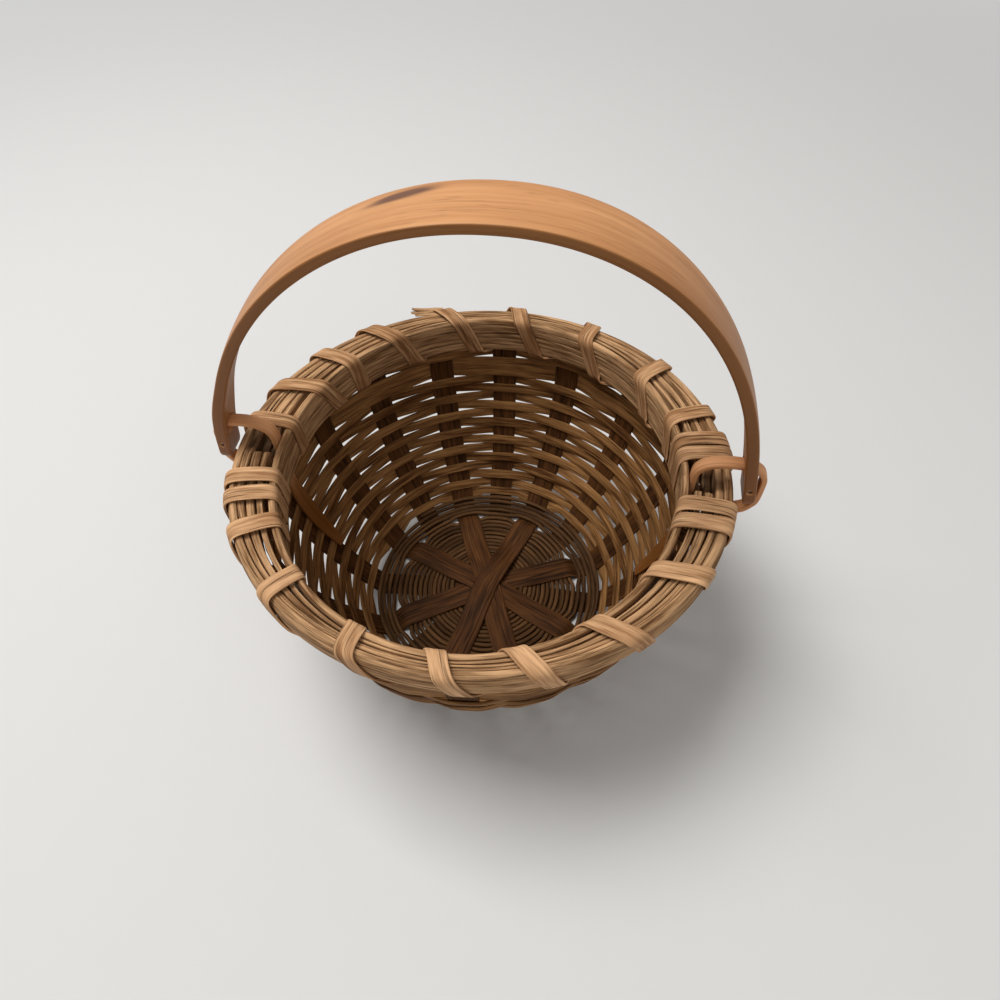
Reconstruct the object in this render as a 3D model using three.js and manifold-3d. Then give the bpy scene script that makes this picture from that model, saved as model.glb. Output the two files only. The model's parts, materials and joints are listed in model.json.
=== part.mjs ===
// A round splint basket with a swing handle: flat spokes cross in the base and turn up as the
// wall's stakes, splint rows are woven through them, two hoops clamp the top edge under a splint
// lashing, and a bentwood bow swings on two bentwood ears.
// Millimetres, Z up, standing on Z = 0. The ears lie on the X axis.
import * as THREE from 'three';
import { mergeVertices } from 'three/addons/utils/BufferGeometryUtils.js';
import Module from 'manifold-3d';

const wasm = await Module();
wasm.setup();

// Fits
const layGap = 0.3;             // between splints that lie on each other
const stackGap = 0.25;          // between spokes pressed together at the middle of the base
const weaveGap = 0.4;           // between a stake and the weavers

// Basket body
const rimTop = 119;             // top of the hoops above the ground
const rimStart = 98;            // the wall stands upright above this height
const mouthRadius = 102;        // middle of the wall at the rim
const cornerRadius = 63.5;      // middle of the wall where it leaves the base
const wallFullness = 1.95;      // 1 is a straight cone, more swells the wall

// Spokes, which become the stakes
const spokeWidth = 13.5;
const spokeThickness = 0.8;
const stakeTop = 110.5;
const upperSpokeArms = [[22, 210], [157, 334], [112, 292], [70, 256]];   // degrees from +X, the top one last

// Round reed of the base
const reedRadius = 1.1;
const reedPitch = 2.6;
const reedStart = 30;
const reedFoot = 60.8;          // the reed leaves the ground here and climbs inside the foot of the wall
const reedStep = 3.8;             // how far the reed steps out where the upper spokes go down
const reedStepTurn = 8;         // turns wound before that step
const reedClimbPitch = 2.9;
const reedClimbTurns = 2;
const reedSides = 5;
const reedStepsPerTurn = 26;

// Rows of flat weavers
const weaverThickness = 0.9;
const weaverWidth = 5.1;
const weaverPitch = 5.75;
const baseRowWidth = 4.6;
const wideRowWidth = 12.2;
const narrowRows = 13;          // between the base row and the wide row
const rowSpacing = weaverPitch - weaverWidth;
const firstRowStart = 5.8;      // along the wall, from the corner

// Hoops, fillers and lashing of the rim
const innerHoopThickness = 3;
const innerHoopHeight = 20.5;
const outerHoopThickness = 4;   // at front and back
const outerHoopEarThickness = 5;
const outerHoopHeight = 16;
const outerHoopReach = 116;     // outer face at the ears, which push the hoop out
const innerHoopMouth = 92.6;    // inner face at the ears, which push the hoop in
const fillerThickness = 0.85;   // at front and back, where the hoops press them flat
const fillerHeight = 7.6;
const fillerSkirt = 14;         // height of the two fillers outside the stakes
const innerFillerEar = { reach: 100.6, thickness: 2.6 };    // middle of each filler at the ears
const middleFillerEar = { reach: 104.3, thickness: 2.3 };
const outerFillerEarThickness = 1.8;
const fillerDrop = 0.6;         // tops of the fillers below the tops of the hoops
const hoopSteps = 48;
const lashingWidth = 7.5;
const lashingThickness = 0.9;
const lashingGap = 0.55;
const lashingLastAdvance = 1.8;  // degrees that the last turn makes before its end is tucked in

// Where the lashing goes through the wall, as shares of each gap between two stakes from ear to ear
const backPasses = [[0.17, 0.5, 0.83], [0.27], [0.27], [0.27], [0.27], [0.27], [0.2, 0.83], [0.75]];
const frontPasses = [[0.17, 0.5, 0.83], [0.27], [0.27], [0.27], [0.27], [0.27], [0.27], [0.25, 0.75]];

// Ears
const earWidth = 6.4;
const earThickness = 2.4;
const earPlay = 3.6;            // between the handle's leg at the bore and the outside of the ear
const earTailWidth = 5.4;
const earTailThickness = 1.2;
const earSpring = 1.5;          // where the arch starts above the hoops' tops
const earSquareness = 2.4;
const earInnerTailEnd = 34;     // height of the inside tail's tip
const earOuterTailEnd = 64;     // height of the outside tail's tip

// Swing handle
const pivotRise = 8.9;          // above the hoops' tops
const earCrown = pivotRise + 2.1;   // middle of the ear's crown above the hoops' tops
const legClearance = 4;         // from the outer hoop to the middle of the legs at the bore
const handleRise = 115.3;       // middle of the bow at the top, above the pivot
const legDrop = 17.7;           // leg ends below the pivot
const bowCentreDrop = 47.9;     // level at which the bow would be widest, below the pivot
const bowSquareness = 2.1;
const bowLean = 10.2;           // the hand-bent bow leans this far to the right at its top
const bowLeanEase = 1.4;
const handleTopWidth = 27.4;
const handleTopThickness = 3.9;
const handleLegWidth = 13.2;
const handleLegThickness = 5.2;
const handleWidening = 1.3;
const leftLegTwist = 10;        // degrees that the left leg has turned in drying
const twistStart = 7;           // above the pivot
const twistEnd = 32;
const boreRadius = 4.7;
const boreCutter = 30;
const pegRadius = 0.9;
const pegDrop = 9.2;            // below the pivot

const pivotHeight = rimTop + pivotRise;
const handleHalfSpan = outerHoopReach + legClearance;
const handleApex = pivotHeight + handleRise;
const handleEnd = pivotHeight - legDrop;

const degrees = THREE.MathUtils.degToRad;
const up = new THREE.Vector3(0, 0, 1);
const basket = new THREE.Group();

// Finishes
function finish(color, roughness) {
  return new THREE.MeshStandardMaterial({ color, roughness, metalness: 0, flatShading: true });
}
const spokeWood = finish(0x6b4526, 0.8);
const weaverWood = finish(0x8a6238, 0.78);
const reedWood = finish(0x6e4a2a, 0.8);
const hoopWood = finish(0x9a7248, 0.72);
const lashingWood = finish(0xb98f5f, 0.72);
const earWood = finish(0xa56a40, 0.5);
const handleWood = finish(0xc58a58, 0.45);
const pegWood = finish(0x4a2f1c, 0.7);

// Adds a named piece to the basket
function addPiece(name, geometry, material) {
  geometry.computeVertexNormals();
  const mesh = new THREE.Mesh(geometry, material);
  mesh.name = name;
  basket.add(mesh);
}

// A station of a strip: its middle, the unit directions across and out of it, and its half sizes
function station(point, across, out, halfWidth, halfThickness) {
  return { point, across, out, halfWidth, halfThickness };
}

// Section outlines, in half widths and half thicknesses
const flatSection = [[-1, -1], [1, -1], [1, 1], [-1, 1]];
const crownedSection = [[-1, -1], [1, -1], [1, 0.3], [0.62, 1], [-0.62, 1], [-1, 0.3]];

// Carries a section through the stations; a closed sweep joins its last station to its first
function sweep(stations, section, closed) {
  const sides = section.length;
  const positions = [];
  for (const s of stations) {
    for (const [u, v] of section) {
      const p = s.point.clone();
      p.addScaledVector(s.across, u * s.halfWidth);
      p.addScaledVector(s.out, v * s.halfThickness);
      positions.push(p.x, p.y, p.z);
    }
  }
  const index = [];
  const count = stations.length;
  const spans = closed ? count : count - 1;
  for (let i = 0; i < spans; i += 1) {
    const a = i * sides;
    const b = ((i + 1) % count) * sides;
    for (let k = 0; k < sides; k += 1) {
      const next = (k + 1) % sides;
      index.push(a + k, a + next, b + next, a + k, b + next, b + k);
    }
  }
  if (!closed) {
    const last = (count - 1) * sides;
    for (let k = 1; k < sides - 1; k += 1) {
      index.push(0, k + 1, k);
      index.push(last, last + k, last + k + 1);
    }
  }
  if (signedVolume(positions, index) < 0) {
    for (let i = 0; i < index.length; i += 3) {
      [index[i + 1], index[i + 2]] = [index[i + 2], index[i + 1]];
    }
  }
  const geometry = new THREE.BufferGeometry();
  geometry.setAttribute('position', new THREE.Float32BufferAttribute(positions, 3));
  geometry.setIndex(index);
  return geometry;
}

// Six times the signed volume of a triangle mesh, which is negative where its faces point in
function signedVolume(positions, index) {
  const corner = (i) => new THREE.Vector3().fromArray(positions, 3 * i);
  let sum = 0;
  for (let i = 0; i < index.length; i += 3) {
    sum += corner(index[i]).dot(corner(index[i + 1]).cross(corner(index[i + 2])));
  }
  return sum;
}

// Booleans
function toSolid(geometry) {
  const bare = geometry.clone();
  bare.deleteAttribute('normal');
  bare.deleteAttribute('uv');
  const merged = mergeVertices(bare, 1e-4);
  return new wasm.Manifold(new wasm.Mesh({
    numProp: 3,
    vertProperties: Float32Array.from(merged.attributes.position.array),
    triVerts: Uint32Array.from(merged.index.array),
  }));
}

function toGeometry(solid) {
  const mesh = solid.getMesh();
  const geometry = new THREE.BufferGeometry();
  geometry.setAttribute('position', new THREE.Float32BufferAttribute(mesh.vertProperties, 3));
  geometry.setIndex(new THREE.Uint32BufferAttribute(mesh.triVerts, 1));
  return geometry;
}

// Wall outline
const reedLevel = spokeThickness + layGap + reedRadius;     // middle of the reed
const spokeLevel = spokeThickness / 2;                      // middle of a spoke on the ground
const overReedLevel = reedLevel + reedRadius + layGap + spokeThickness / 2;

// Middle of the wall at a height: it swells out of the corner and is upright at the rim
function wallRadius(z) {
  const share = THREE.MathUtils.clamp((z - reedLevel) / (rimStart - reedLevel), 0, 1);
  return mouthRadius - (mouthRadius - cornerRadius) * (1 - share) ** wallFullness;
}

const wallSamples = [];
for (let i = 0, length = 0; i <= 600; i += 1) {
  const z = reedLevel + ((stakeTop - reedLevel) * i) / 600;
  const r = wallRadius(z);
  if (i > 0) {
    const before = wallSamples[i - 1];
    length += Math.hypot(r - before.r, z - before.z);
  }
  wallSamples.push({ r, z, length });
}
const wallLength = wallSamples[wallSamples.length - 1].length;

// The wall's point at a length along it from the corner, with its direction up the wall
function wallAt(length) {
  let i = wallSamples.findIndex((sample) => sample.length >= length);
  i = THREE.MathUtils.clamp(i === -1 ? wallSamples.length - 1 : i, 1, wallSamples.length - 1);
  const a = wallSamples[i - 1];
  const b = wallSamples[i];
  const share = (length - a.length) / (b.length - a.length);
  const span = b.length - a.length;
  return {
    r: a.r + (b.r - a.r) * share,
    z: a.z + (b.z - a.z) * share,
    rise: (b.z - a.z) / span,
    run: (b.r - a.r) / span,
  };
}

function wallAtHeight(z) {
  const sample = wallSamples.find((s) => s.z >= z) ?? wallSamples[wallSamples.length - 1];
  return wallAt(sample.length);
}

// Directions at an angle around the basket
function outward(angle) {
  return new THREE.Vector3(Math.cos(degrees(angle)), Math.sin(degrees(angle)), 0);
}

function sideways(angle) {
  return new THREE.Vector3(-Math.sin(degrees(angle)), Math.cos(degrees(angle)), 0);
}

// A point of a spoke arm or stake at a radius and height, moved along by side
function polar(angle, r, z, side = 0) {
  return outward(angle).multiplyScalar(r).addScaledVector(sideways(angle), side).setZ(z);
}

// Arm angles: the lower spokes lie midway between the upper ones
const upperAngles = upperSpokeArms.flat().sort((a, b) => a - b);
const lowerAngles = upperAngles.map((angle, i) => {
  const next = i + 1 < upperAngles.length ? upperAngles[i + 1] : upperAngles[0] + 360;
  return ((angle + next) / 2) % 360;
}).sort((a, b) => a - b);
const armPairs = upperSpokeArms.length;
const lowerSpokeArms = [];
for (let i = 0; i < armPairs; i += 1) {
  lowerSpokeArms.push([lowerAngles[i], lowerAngles[i + armPairs]]);
}
const stakeAngles = [...upperAngles, ...lowerAngles].sort((a, b) => a - b);

// Radius at which neighbouring spokes of one set no longer cover each other
function clearRadius(angles) {
  let smallest = 360;
  angles.forEach((angle, i) => {
    const next = i + 1 < angles.length ? angles[i + 1] : angles[0] + 360;
    smallest = Math.min(smallest, next - angle);
  });
  return spokeWidth / 2 / Math.sin(degrees(smallest / 2)) + 0.7;
}

// Radius of the reed after a number of turns, with its one step outward between two spokes
const reedStepHalf = 0.038;
function reedAt(turns) {
  const step = THREE.MathUtils.smoothstep(turns, reedStepTurn - reedStepHalf, reedStepTurn + reedStepHalf);
  return reedStart + reedPitch * turns + reedStep * step;
}

// Radius and height of the reed after a number of turns: flat on the lower spokes, then climbing
// inside the foot of the wall
const reedFlatTurns = (reedFoot - reedStart - reedStep) / reedPitch;
function reedSpot(turns) {
  if (turns <= reedFlatTurns) {
    return { r: reedAt(turns), z: reedLevel };
  }
  const climbed = reedClimbPitch * (turns - reedFlatTurns);
  const inset = spokeThickness / 2 + layGap + reedRadius;
  const foot = wallAt(0);
  const start = { r: foot.r - inset * foot.rise, z: foot.z + inset * foot.run };
  const bend = Math.hypot(start.r - reedFoot, start.z - reedLevel);
  if (climbed < bend) {
    const share = climbed / bend;
    return { r: THREE.MathUtils.lerp(reedFoot, start.r, share), z: THREE.MathUtils.lerp(reedLevel, start.z, share) };
  }
  const spot = wallAt(climbed - bend);
  return { r: spot.r - inset * spot.rise, z: spot.z + inset * spot.run };
}

// Base of an arm as radius and height from the middle outward
function lowerArmBase(layer) {
  const stackLevel = spokeLevel + layer * (spokeThickness + stackGap);
  const clear = clearRadius(lowerAngles);
  return [[clear, stackLevel], [reedStart - reedRadius - layGap, spokeLevel]];
}

function upperArmBase(layer, angle) {
  const stackLevel = spokeLevel + (armPairs + layer) * (spokeThickness + stackGap);
  const clear = clearRadius(upperAngles);
  const turns = reedStepTurn - 1 + angle / 360;
  const slot = (reedAt(turns) + reedAt(turns + 1)) / 2 - 0.25;
  const half = (overReedLevel - spokeLevel) / 2;
  return [[clear, stackLevel], [reedStart + 1, overReedLevel], [slot - half, overReedLevel], [slot + half, spokeLevel]];
}

// Corner and wall of an arm, up to the stake's top
const stakeStations = 12;
function armWall() {
  const turn = cornerRadius - 2.6;
  const points = [[turn, spokeLevel], [turn + 1.7, spokeLevel + 0.5]];
  for (let i = 0; i <= stakeStations; i += 1) {
    const spot = wallAt((wallLength * i) / stakeStations);
    points.push([spot.r, spot.z]);
  }
  return points;
}

// One spoke: from one stake's top down the wall, across the base and up to the other stake's top
function spoke(arms, baseOf) {
  const lines = arms.map((angle) => [...baseOf(angle), ...armWall()].map(([r, z]) => ({ angle, r, z })));
  const level = lines[0][0].z;
  const middleAngle = (arms[0] + arms[1] + 180) / 2;
  const points = [...lines[0].reverse(), { angle: middleAngle, r: 0, z: level }, ...lines[1]];
  const places = points.map(({ angle, r, z }) => polar(angle, r, z));
  const stations = points.map(({ angle }, i) => {
    const before = places[Math.max(i - 1, 0)];
    const after = places[Math.min(i + 1, places.length - 1)];
    const inFirst = i <= lines[0].length;
    const centre = i === lines[0].length;
    const across = sideways(centre ? middleAngle : angle).multiplyScalar(inFirst ? 1 : -1);
    const entry = places[i].clone().sub(before).normalize();
    const exit = after.clone().sub(places[i]).normalize();
    const along = entry.clone().add(exit).normalize();
    const out = across.clone().cross(along).normalize();
    const stretch = 1 / Math.max(0.6, Math.sqrt((1 + (entry.lengthSq() ? entry.dot(exit) : 1)) / 2) || 1);
    const plain = centre || i === 0 || i === places.length - 1;
    return station(places[i], across, out, spokeWidth / 2, (spokeThickness / 2) * (plain ? 1 : stretch));
  });
  return sweep(stations, flatSection, false);
}

// Base
lowerSpokeArms.forEach((arms, i) => {
  addPiece(`lower_spoke_${i + 1}`, spoke(arms, () => lowerArmBase(i)), spokeWood);
});
upperSpokeArms.forEach((arms, i) => {
  addPiece(`upper_spoke_${i + 1}`, spoke(arms, (angle) => upperArmBase(i, angle)), spokeWood);
});

// Round reed wound out from the middle, over the lower spokes and under the upper ones, and up
// inside the foot of the wall
function baseReed() {
  const section = [];
  for (let k = 0; k < reedSides; k += 1) {
    const turn = degrees(90 + (360 * k) / reedSides);
    section.push([Math.cos(turn), Math.sin(turn)]);
  }
  const steps = Math.round((reedFlatTurns + reedClimbTurns) * reedStepsPerTurn);
  const stations = [];
  for (let i = 0; i <= steps; i += 1) {
    const wound = i / reedStepsPerTurn;
    const angle = 360 * wound;
    const { r, z } = reedSpot(wound);
    stations.push(station(polar(angle, r, z), outward(angle), up, reedRadius, reedRadius));
  }
  return sweep(stations, section, false);
}
addPiece('base_reed', baseReed(), reedWood);

// Wall
const weaveOffset = spokeThickness / 2 + weaveGap + weaverThickness / 2;

// One closed row of weaving, inside every other stake and outside the rest
function weaverRow(middle, width, row) {
  const spot = wallAt(middle);
  const halfFlat = spokeWidth / 2 + 0.6;
  const stations = [];
  stakeAngles.forEach((angle, i) => {
    const side = (row + i) % 2 === 0 ? -1 : 1;
    const r = spot.r + side * weaveOffset * spot.rise;
    const z = spot.z - side * weaveOffset * spot.run;
    const across = outward(angle).multiplyScalar(spot.run).addScaledVector(up, spot.rise);
    const out = outward(angle).multiplyScalar(spot.rise).addScaledVector(up, -spot.run);
    stations.push(station(polar(angle, r, z, -halfFlat), across, out, width / 2, weaverThickness / 2));
    stations.push(station(polar(angle, r, z, halfFlat), across, out, width / 2, weaverThickness / 2));
  });
  return sweep(stations, flatSection, true);
}

const rowWidths = [baseRowWidth, ...Array(narrowRows).fill(weaverWidth), wideRowWidth, weaverWidth];
let rowStart = firstRowStart;
rowWidths.forEach((width, i) => {
  const row = i + 1;
  const wide = width === wideRowWidth;
  const name = wide ? 'wide_weaver' : `weaver_${String(row).padStart(2, '0')}`;
  addPiece(name, weaverRow(rowStart + width / 2, width, row), weaverWood);
  rowStart += width + rowSpacing;
});

// Rim
// Each ring is an oval: half axes of its middle line at the ears (x) and at front and back (y),
// and its thickness at both
const stakeFace = mouthRadius - spokeThickness / 2;
const innerHoop = {
  x: innerHoopMouth + innerHoopThickness / 2,
  y: stakeFace - layGap - innerHoopThickness / 2,
  earThickness: innerHoopThickness,
  thickness: innerHoopThickness,
};
const fillerRoom = layGap + fillerThickness;
const innerHoopBack = innerHoop.y + innerHoopThickness / 2;
const overStakes = innerHoopBack + 0.4;
const outerHoop = {
  x: outerHoopReach - outerHoopEarThickness / 2,
  y: overStakes + 3 * fillerRoom + layGap + outerHoopThickness / 2,
  earThickness: outerHoopEarThickness,
  thickness: outerHoopThickness,
};
const earInnerLeg = innerHoop.x + innerHoopThickness / 2 + layGap + earThickness / 2 + 0.3;
const innerFiller = {
  x: innerFillerEar.reach,
  y: innerHoopBack + fillerRoom - fillerThickness / 2,
  earThickness: innerFillerEar.thickness,
  thickness: fillerThickness,
};
const middleFiller = {
  x: middleFillerEar.reach,
  y: overStakes + 2 * fillerRoom - fillerThickness / 2,
  earThickness: middleFillerEar.thickness,
  thickness: fillerThickness,
};
const outerFiller = {
  x: outerHoopReach - outerHoopEarThickness - layGap - outerFillerEarThickness / 2,
  y: overStakes + 3 * fillerRoom - fillerThickness / 2,
  earThickness: outerFillerEarThickness,
  thickness: fillerThickness,
};

// Point and outward direction of an oval at an angle, and its thickness there
function ovalAt(oval, angle) {
  const c = Math.cos(degrees(angle));
  const s = Math.sin(degrees(angle));
  return {
    point: new THREE.Vector3(oval.x * c, oval.y * s, 0),
    out: new THREE.Vector3(oval.y * c, oval.x * s, 0).normalize(),
    thickness: THREE.MathUtils.lerp(oval.thickness, oval.earThickness, c * c),
  };
}

// A closed upright band on an oval
function hoop(oval, top, height, section) {
  const stations = [];
  for (let i = 0; i < hoopSteps; i += 1) {
    const { point, out, thickness } = ovalAt(oval, (360 * i) / hoopSteps);
    stations.push(station(point.setZ(top - height / 2), up, out, height / 2, thickness / 2));
  }
  return sweep(stations, section, true);
}

const fillerTop = rimTop - fillerDrop;
addPiece('inner_rim_hoop', hoop(innerHoop, rimTop, innerHoopHeight, flatSection), hoopWood);
addPiece('outer_rim_hoop', hoop(outerHoop, rimTop, outerHoopHeight, crownedSection), hoopWood);
addPiece('inner_rim_filler', hoop(innerFiller, fillerTop, fillerHeight, flatSection), hoopWood);
addPiece('middle_rim_filler', hoop(middleFiller, fillerTop, fillerSkirt, flatSection), hoopWood);
addPiece('outer_rim_filler', hoop(outerFiller, fillerTop, fillerSkirt, flatSection), hoopWood);

// Lashing: each half is one unbroken splint that turns round the whole rim and passes through
// the wall below the hoops, between two stakes
const lashReach = lashingGap + lashingThickness / 2;
const lashIn = { x: innerHoop.x - innerHoopThickness / 2 - lashReach, y: innerHoop.y - innerHoopThickness / 2 - lashReach };
const lashOut = { x: outerHoopReach + lashReach, y: outerHoop.y + outerHoopThickness / 2 + lashReach };
const lashMid = { x: mouthRadius + 0.8, y: mouthRadius + 0.8 };
const lashTop = rimTop + lashReach;
const lashInLow = rimTop - innerHoopHeight - lashReach;
const lashOutLow = rimTop - outerHoopHeight - lashReach;

// Angles at which the lashing goes through the wall, from one ear to the other
function lashingPasses(start, gapShares) {
  const end = start + 180;
  const stakes = [-360, 0, 360].flatMap((turn) => stakeAngles.map((angle) => angle + turn));
  const stakeHalf = THREE.MathUtils.radToDeg(spokeWidth / 2 / mouthRadius);
  const earHalf = THREE.MathUtils.radToDeg((earWidth / 2 + 1) / mouthRadius);
  const bounds = stakes.filter((angle) => angle > start - 12 && angle < end + 12);
  return gapShares.flatMap((shares, i) => {
    const low = Math.max(bounds[i] + stakeHalf, start + earHalf) + 0.5;
    const high = Math.min(bounds[i + 1] - stakeHalf, end - earHalf) - 0.5;
    return shares.map((share) => THREE.MathUtils.lerp(low, high, share));
  });
}

// One turn: share of the advance to the next pass, ring, height, and how far the strip's middle
// stands off there, out from the rim and up
const lashingTurn = [
  [0.09, lashIn, lashInLow, [-1, -1]],
  [0.22, lashIn, (lashInLow + lashTop) / 2, [-1, 0]],
  [0.35, lashIn, lashTop, [-1, 1]],
  [0.48, lashOut, lashTop, [1, 1]],
  [0.61, lashOut, THREE.MathUtils.lerp(lashTop, lashOutLow, 0.33), [1, 0]],
  [0.74, lashOut, THREE.MathUtils.lerp(lashTop, lashOutLow, 0.67), [1, 0]],
  [0.86, lashOut, lashOutLow, [1, -0.64]],
  [0.98, lashMid, lashInLow, [0.21, -1]],
];

function lashing(start, gapShares) {
  const passes = lashingPasses(start, gapShares);
  const path = [];
  passes.forEach((pass, i) => {
    const next = i + 1 < passes.length ? passes[i + 1] : pass + lashingLastAdvance;
    for (const [share, oval, height, lift] of lashingTurn) {
      const spot = ovalAt(oval, pass + (next - pass) * share);
      path.push({
        point: spot.point.setZ(height),
        along: up.clone().cross(spot.out),
        out: spot.out.clone().multiplyScalar(lift[0]).addScaledVector(up, lift[1]).normalize(),
        mitre: Math.hypot(...lift),
      });
    }
  });
  const stations = path.map(({ point, along, out, mitre }, i) => {
    const before = path[Math.max(i - 1, 0)].point;
    const after = path[Math.min(i + 1, path.length - 1)].point;
    const run = after.clone().sub(before).normalize();
    const lean = Math.abs(run.dot(along));
    const widen = Math.min(1 / Math.sqrt(1 - lean * lean), 1.2);
    return station(point, along, out, (lashingWidth / 2) * widen, (lashingThickness / 2) * mitre);
  });
  return sweep(stations, flatSection, false);
}
addPiece('back_rim_lashing', lashing(0, backPasses), lashingWood);
addPiece('front_rim_lashing', lashing(180, frontPasses), lashingWood);

// Ears
// An arch over the rim from the inner tail to the outer one, as x and z in the ears' plane
const earOuterLeg = handleHalfSpan + handleLegThickness / 2 + earPlay + earThickness / 2;
function earPath() {
  const tailClear = weaveOffset + weaverThickness / 2 + layGap + 0.25;
  const points = [];
  const tailPoint = (z, side, share) => {
    const spot = wallAtHeight(z);
    const thickness = THREE.MathUtils.lerp(earTailThickness, earThickness, share);
    const off = side * (tailClear + thickness / 2);
    points.push({ x: spot.r + off * spot.rise, z: spot.z - off * spot.run, share });
  };
  const tailSteps = 7;
  for (let i = 0; i <= tailSteps; i += 1) {
    tailPoint(THREE.MathUtils.lerp(earInnerTailEnd, rimTop - innerHoopHeight - 6, i / tailSteps), -1, i / tailSteps);
  }
  points.push({ x: earInnerLeg, z: rimTop - innerHoopHeight + 2, share: 1 });
  points.push({ x: earInnerLeg, z: rimTop - 4, share: 1 });
  const middle = (earInnerLeg + earOuterLeg) / 2;
  const half = (earOuterLeg - earInnerLeg) / 2;
  const archSteps = 14;
  for (let i = 0; i <= archSteps; i += 1) {
    const turn = Math.PI * (1 - i / archSteps);
    const c = Math.cos(turn);
    const power = 2 / earSquareness;
    points.push({
      x: middle + half * Math.sign(c) * Math.abs(c) ** power,
      z: rimTop + earSpring + (earCrown - earSpring) * Math.sin(turn) ** power,
      share: 1,
    });
  }
  const below = rimTop - outerHoopHeight;
  points.push({ x: earOuterLeg, z: rimTop - 6.5, share: 1 });
  points.push({ x: earOuterLeg - 0.3, z: rimTop - 12, share: 1 });
  points.push({ x: earOuterLeg - 4.2, z: rimTop - 18, share: 0.95 });
  points.push({ x: outerHoopReach - 1.5, z: below - 5.6, share: 0.9 });
  points.push({ x: mouthRadius + 7.4, z: below - 10.4, share: 0.8 });
  for (let i = 0; i <= 4; i += 1) {
    tailPoint(THREE.MathUtils.lerp(below - 17.5, earOuterTailEnd, i / 4), 1, 0.7 * (1 - i / 4));
  }
  return points;
}

function ear(side) {
  const path = earPath();
  const across = new THREE.Vector3(0, 1, 0);
  const place = ({ x, z }) => new THREE.Vector3(side * x, 0, z);
  const stations = path.map((spot, i) => {
    const before = place(path[Math.max(i - 1, 0)]);
    const after = place(path[Math.min(i + 1, path.length - 1)]);
    const along = after.sub(before).normalize();
    const out = across.clone().cross(along).normalize();
    const width = THREE.MathUtils.lerp(earTailWidth, earWidth, spot.share);
    const thickness = THREE.MathUtils.lerp(earTailThickness, earThickness, spot.share);
    return station(place(spot), across, out, width / 2, thickness / 2);
  });
  return sweep(stations, flatSection, false);
}
addPiece('left_ear', ear(-1), earWood);
addPiece('right_ear', ear(1), earWood);

// Swing handle
const bowStations = 24;

// Middle line of the bow: half of a superellipse whose widest level lies below its leg ends
const bowCentre = pivotHeight - bowCentreDrop;
const bowRise = (z) => (z - bowCentre) / (handleApex - bowCentre);
const bowReach = handleHalfSpan / (1 - bowRise(pivotHeight) ** bowSquareness) ** (1 / bowSquareness);
const legMiddle = (z) => bowReach * (1 - bowRise(z) ** bowSquareness) ** (1 / bowSquareness);

function bowPoints() {
  const power = 2 / bowSquareness;
  const lowest = Math.asin(bowRise(handleEnd) ** (1 / power));
  const halves = [-1, 1].map((side) => {
    const points = [];
    for (let i = 0; i <= bowStations; i += 1) {
      const turn = lowest + ((Math.PI / 2 - lowest) * i) / bowStations;
      const z = bowCentre + (handleApex - bowCentre) * Math.sin(turn) ** power;
      const lean = Math.max(0, (z - pivotHeight) / (handleApex - pivotHeight)) ** bowLeanEase;
      const c = i === bowStations ? 0 : Math.cos(turn);
      points.push({ x: side * bowReach * c ** power + bowLean * lean, z, side });
    }
    return points;
  });
  return [...halves[0], ...halves[1].reverse().slice(1)];
}

function bow() {
  const path = bowPoints();
  const stations = path.map(({ x, z, side }, i) => {
    const before = path[Math.max(i - 1, 0)];
    const after = path[Math.min(i + 1, path.length - 1)];
    const along = new THREE.Vector3(after.x - before.x, 0, after.z - before.z).normalize();
    const rise = (z - handleEnd) / (handleApex - handleEnd);
    const share = rise ** handleWidening;
    const twistShare = THREE.MathUtils.smoothstep(z, pivotHeight + twistStart, pivotHeight + twistEnd) * (1 - rise);
    const twist = side < 0 ? degrees(leftLegTwist) * twistShare : 0;
    const across = new THREE.Vector3(0, 1, 0).applyAxisAngle(along, twist);
    const out = across.clone().cross(along).negate();
    const width = THREE.MathUtils.lerp(handleLegWidth, handleTopWidth, share);
    const thickness = THREE.MathUtils.lerp(handleLegThickness, handleTopThickness, share);
    return station(new THREE.Vector3(x, 0, z), across, out, width / 2, thickness / 2);
  });
  return sweep(stations, crownedSection, false);
}

// A round bar along an axis
function bar(radius, length, sides, x, z, alongX) {
  const geometry = new THREE.CylinderGeometry(radius, radius, length, sides);
  if (alongX) {
    geometry.rotateZ(Math.PI / 2);
  }
  geometry.translate(x, 0, z);
  return geometry;
}

// The bow is bored for the ears, and for the peg that stops each leg end from splitting
const pegHeight = pivotHeight - pegDrop;
let handle = toSolid(bow());
for (const side of [-1, 1]) {
  const hole = bar(boreRadius, boreCutter, 28, side * handleHalfSpan, pivotHeight, true);
  const pegHole = bar(pegRadius + layGap, handleLegWidth + 4, 10, side * legMiddle(pegHeight), pegHeight, false);
  handle = handle.subtract(toSolid(hole)).subtract(toSolid(pegHole));
  const peg = bar(pegRadius, handleLegWidth, 10, side * legMiddle(pegHeight), pegHeight, false);
  addPiece(side < 0 ? 'left_leg_peg' : 'right_leg_peg', peg, pegWood);
}
addPiece('swing_handle', toGeometry(handle), handleWood);

export default basket;
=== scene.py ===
"""Looks of a round splint basket with a swing handle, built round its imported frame.

Every piece is a skin over rings of points: a section is carried along a path and both are worked
out as whole arrays. Lengths are in metres, Z is up, and the ears lie on the X axis.
"""
import json
import math

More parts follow.
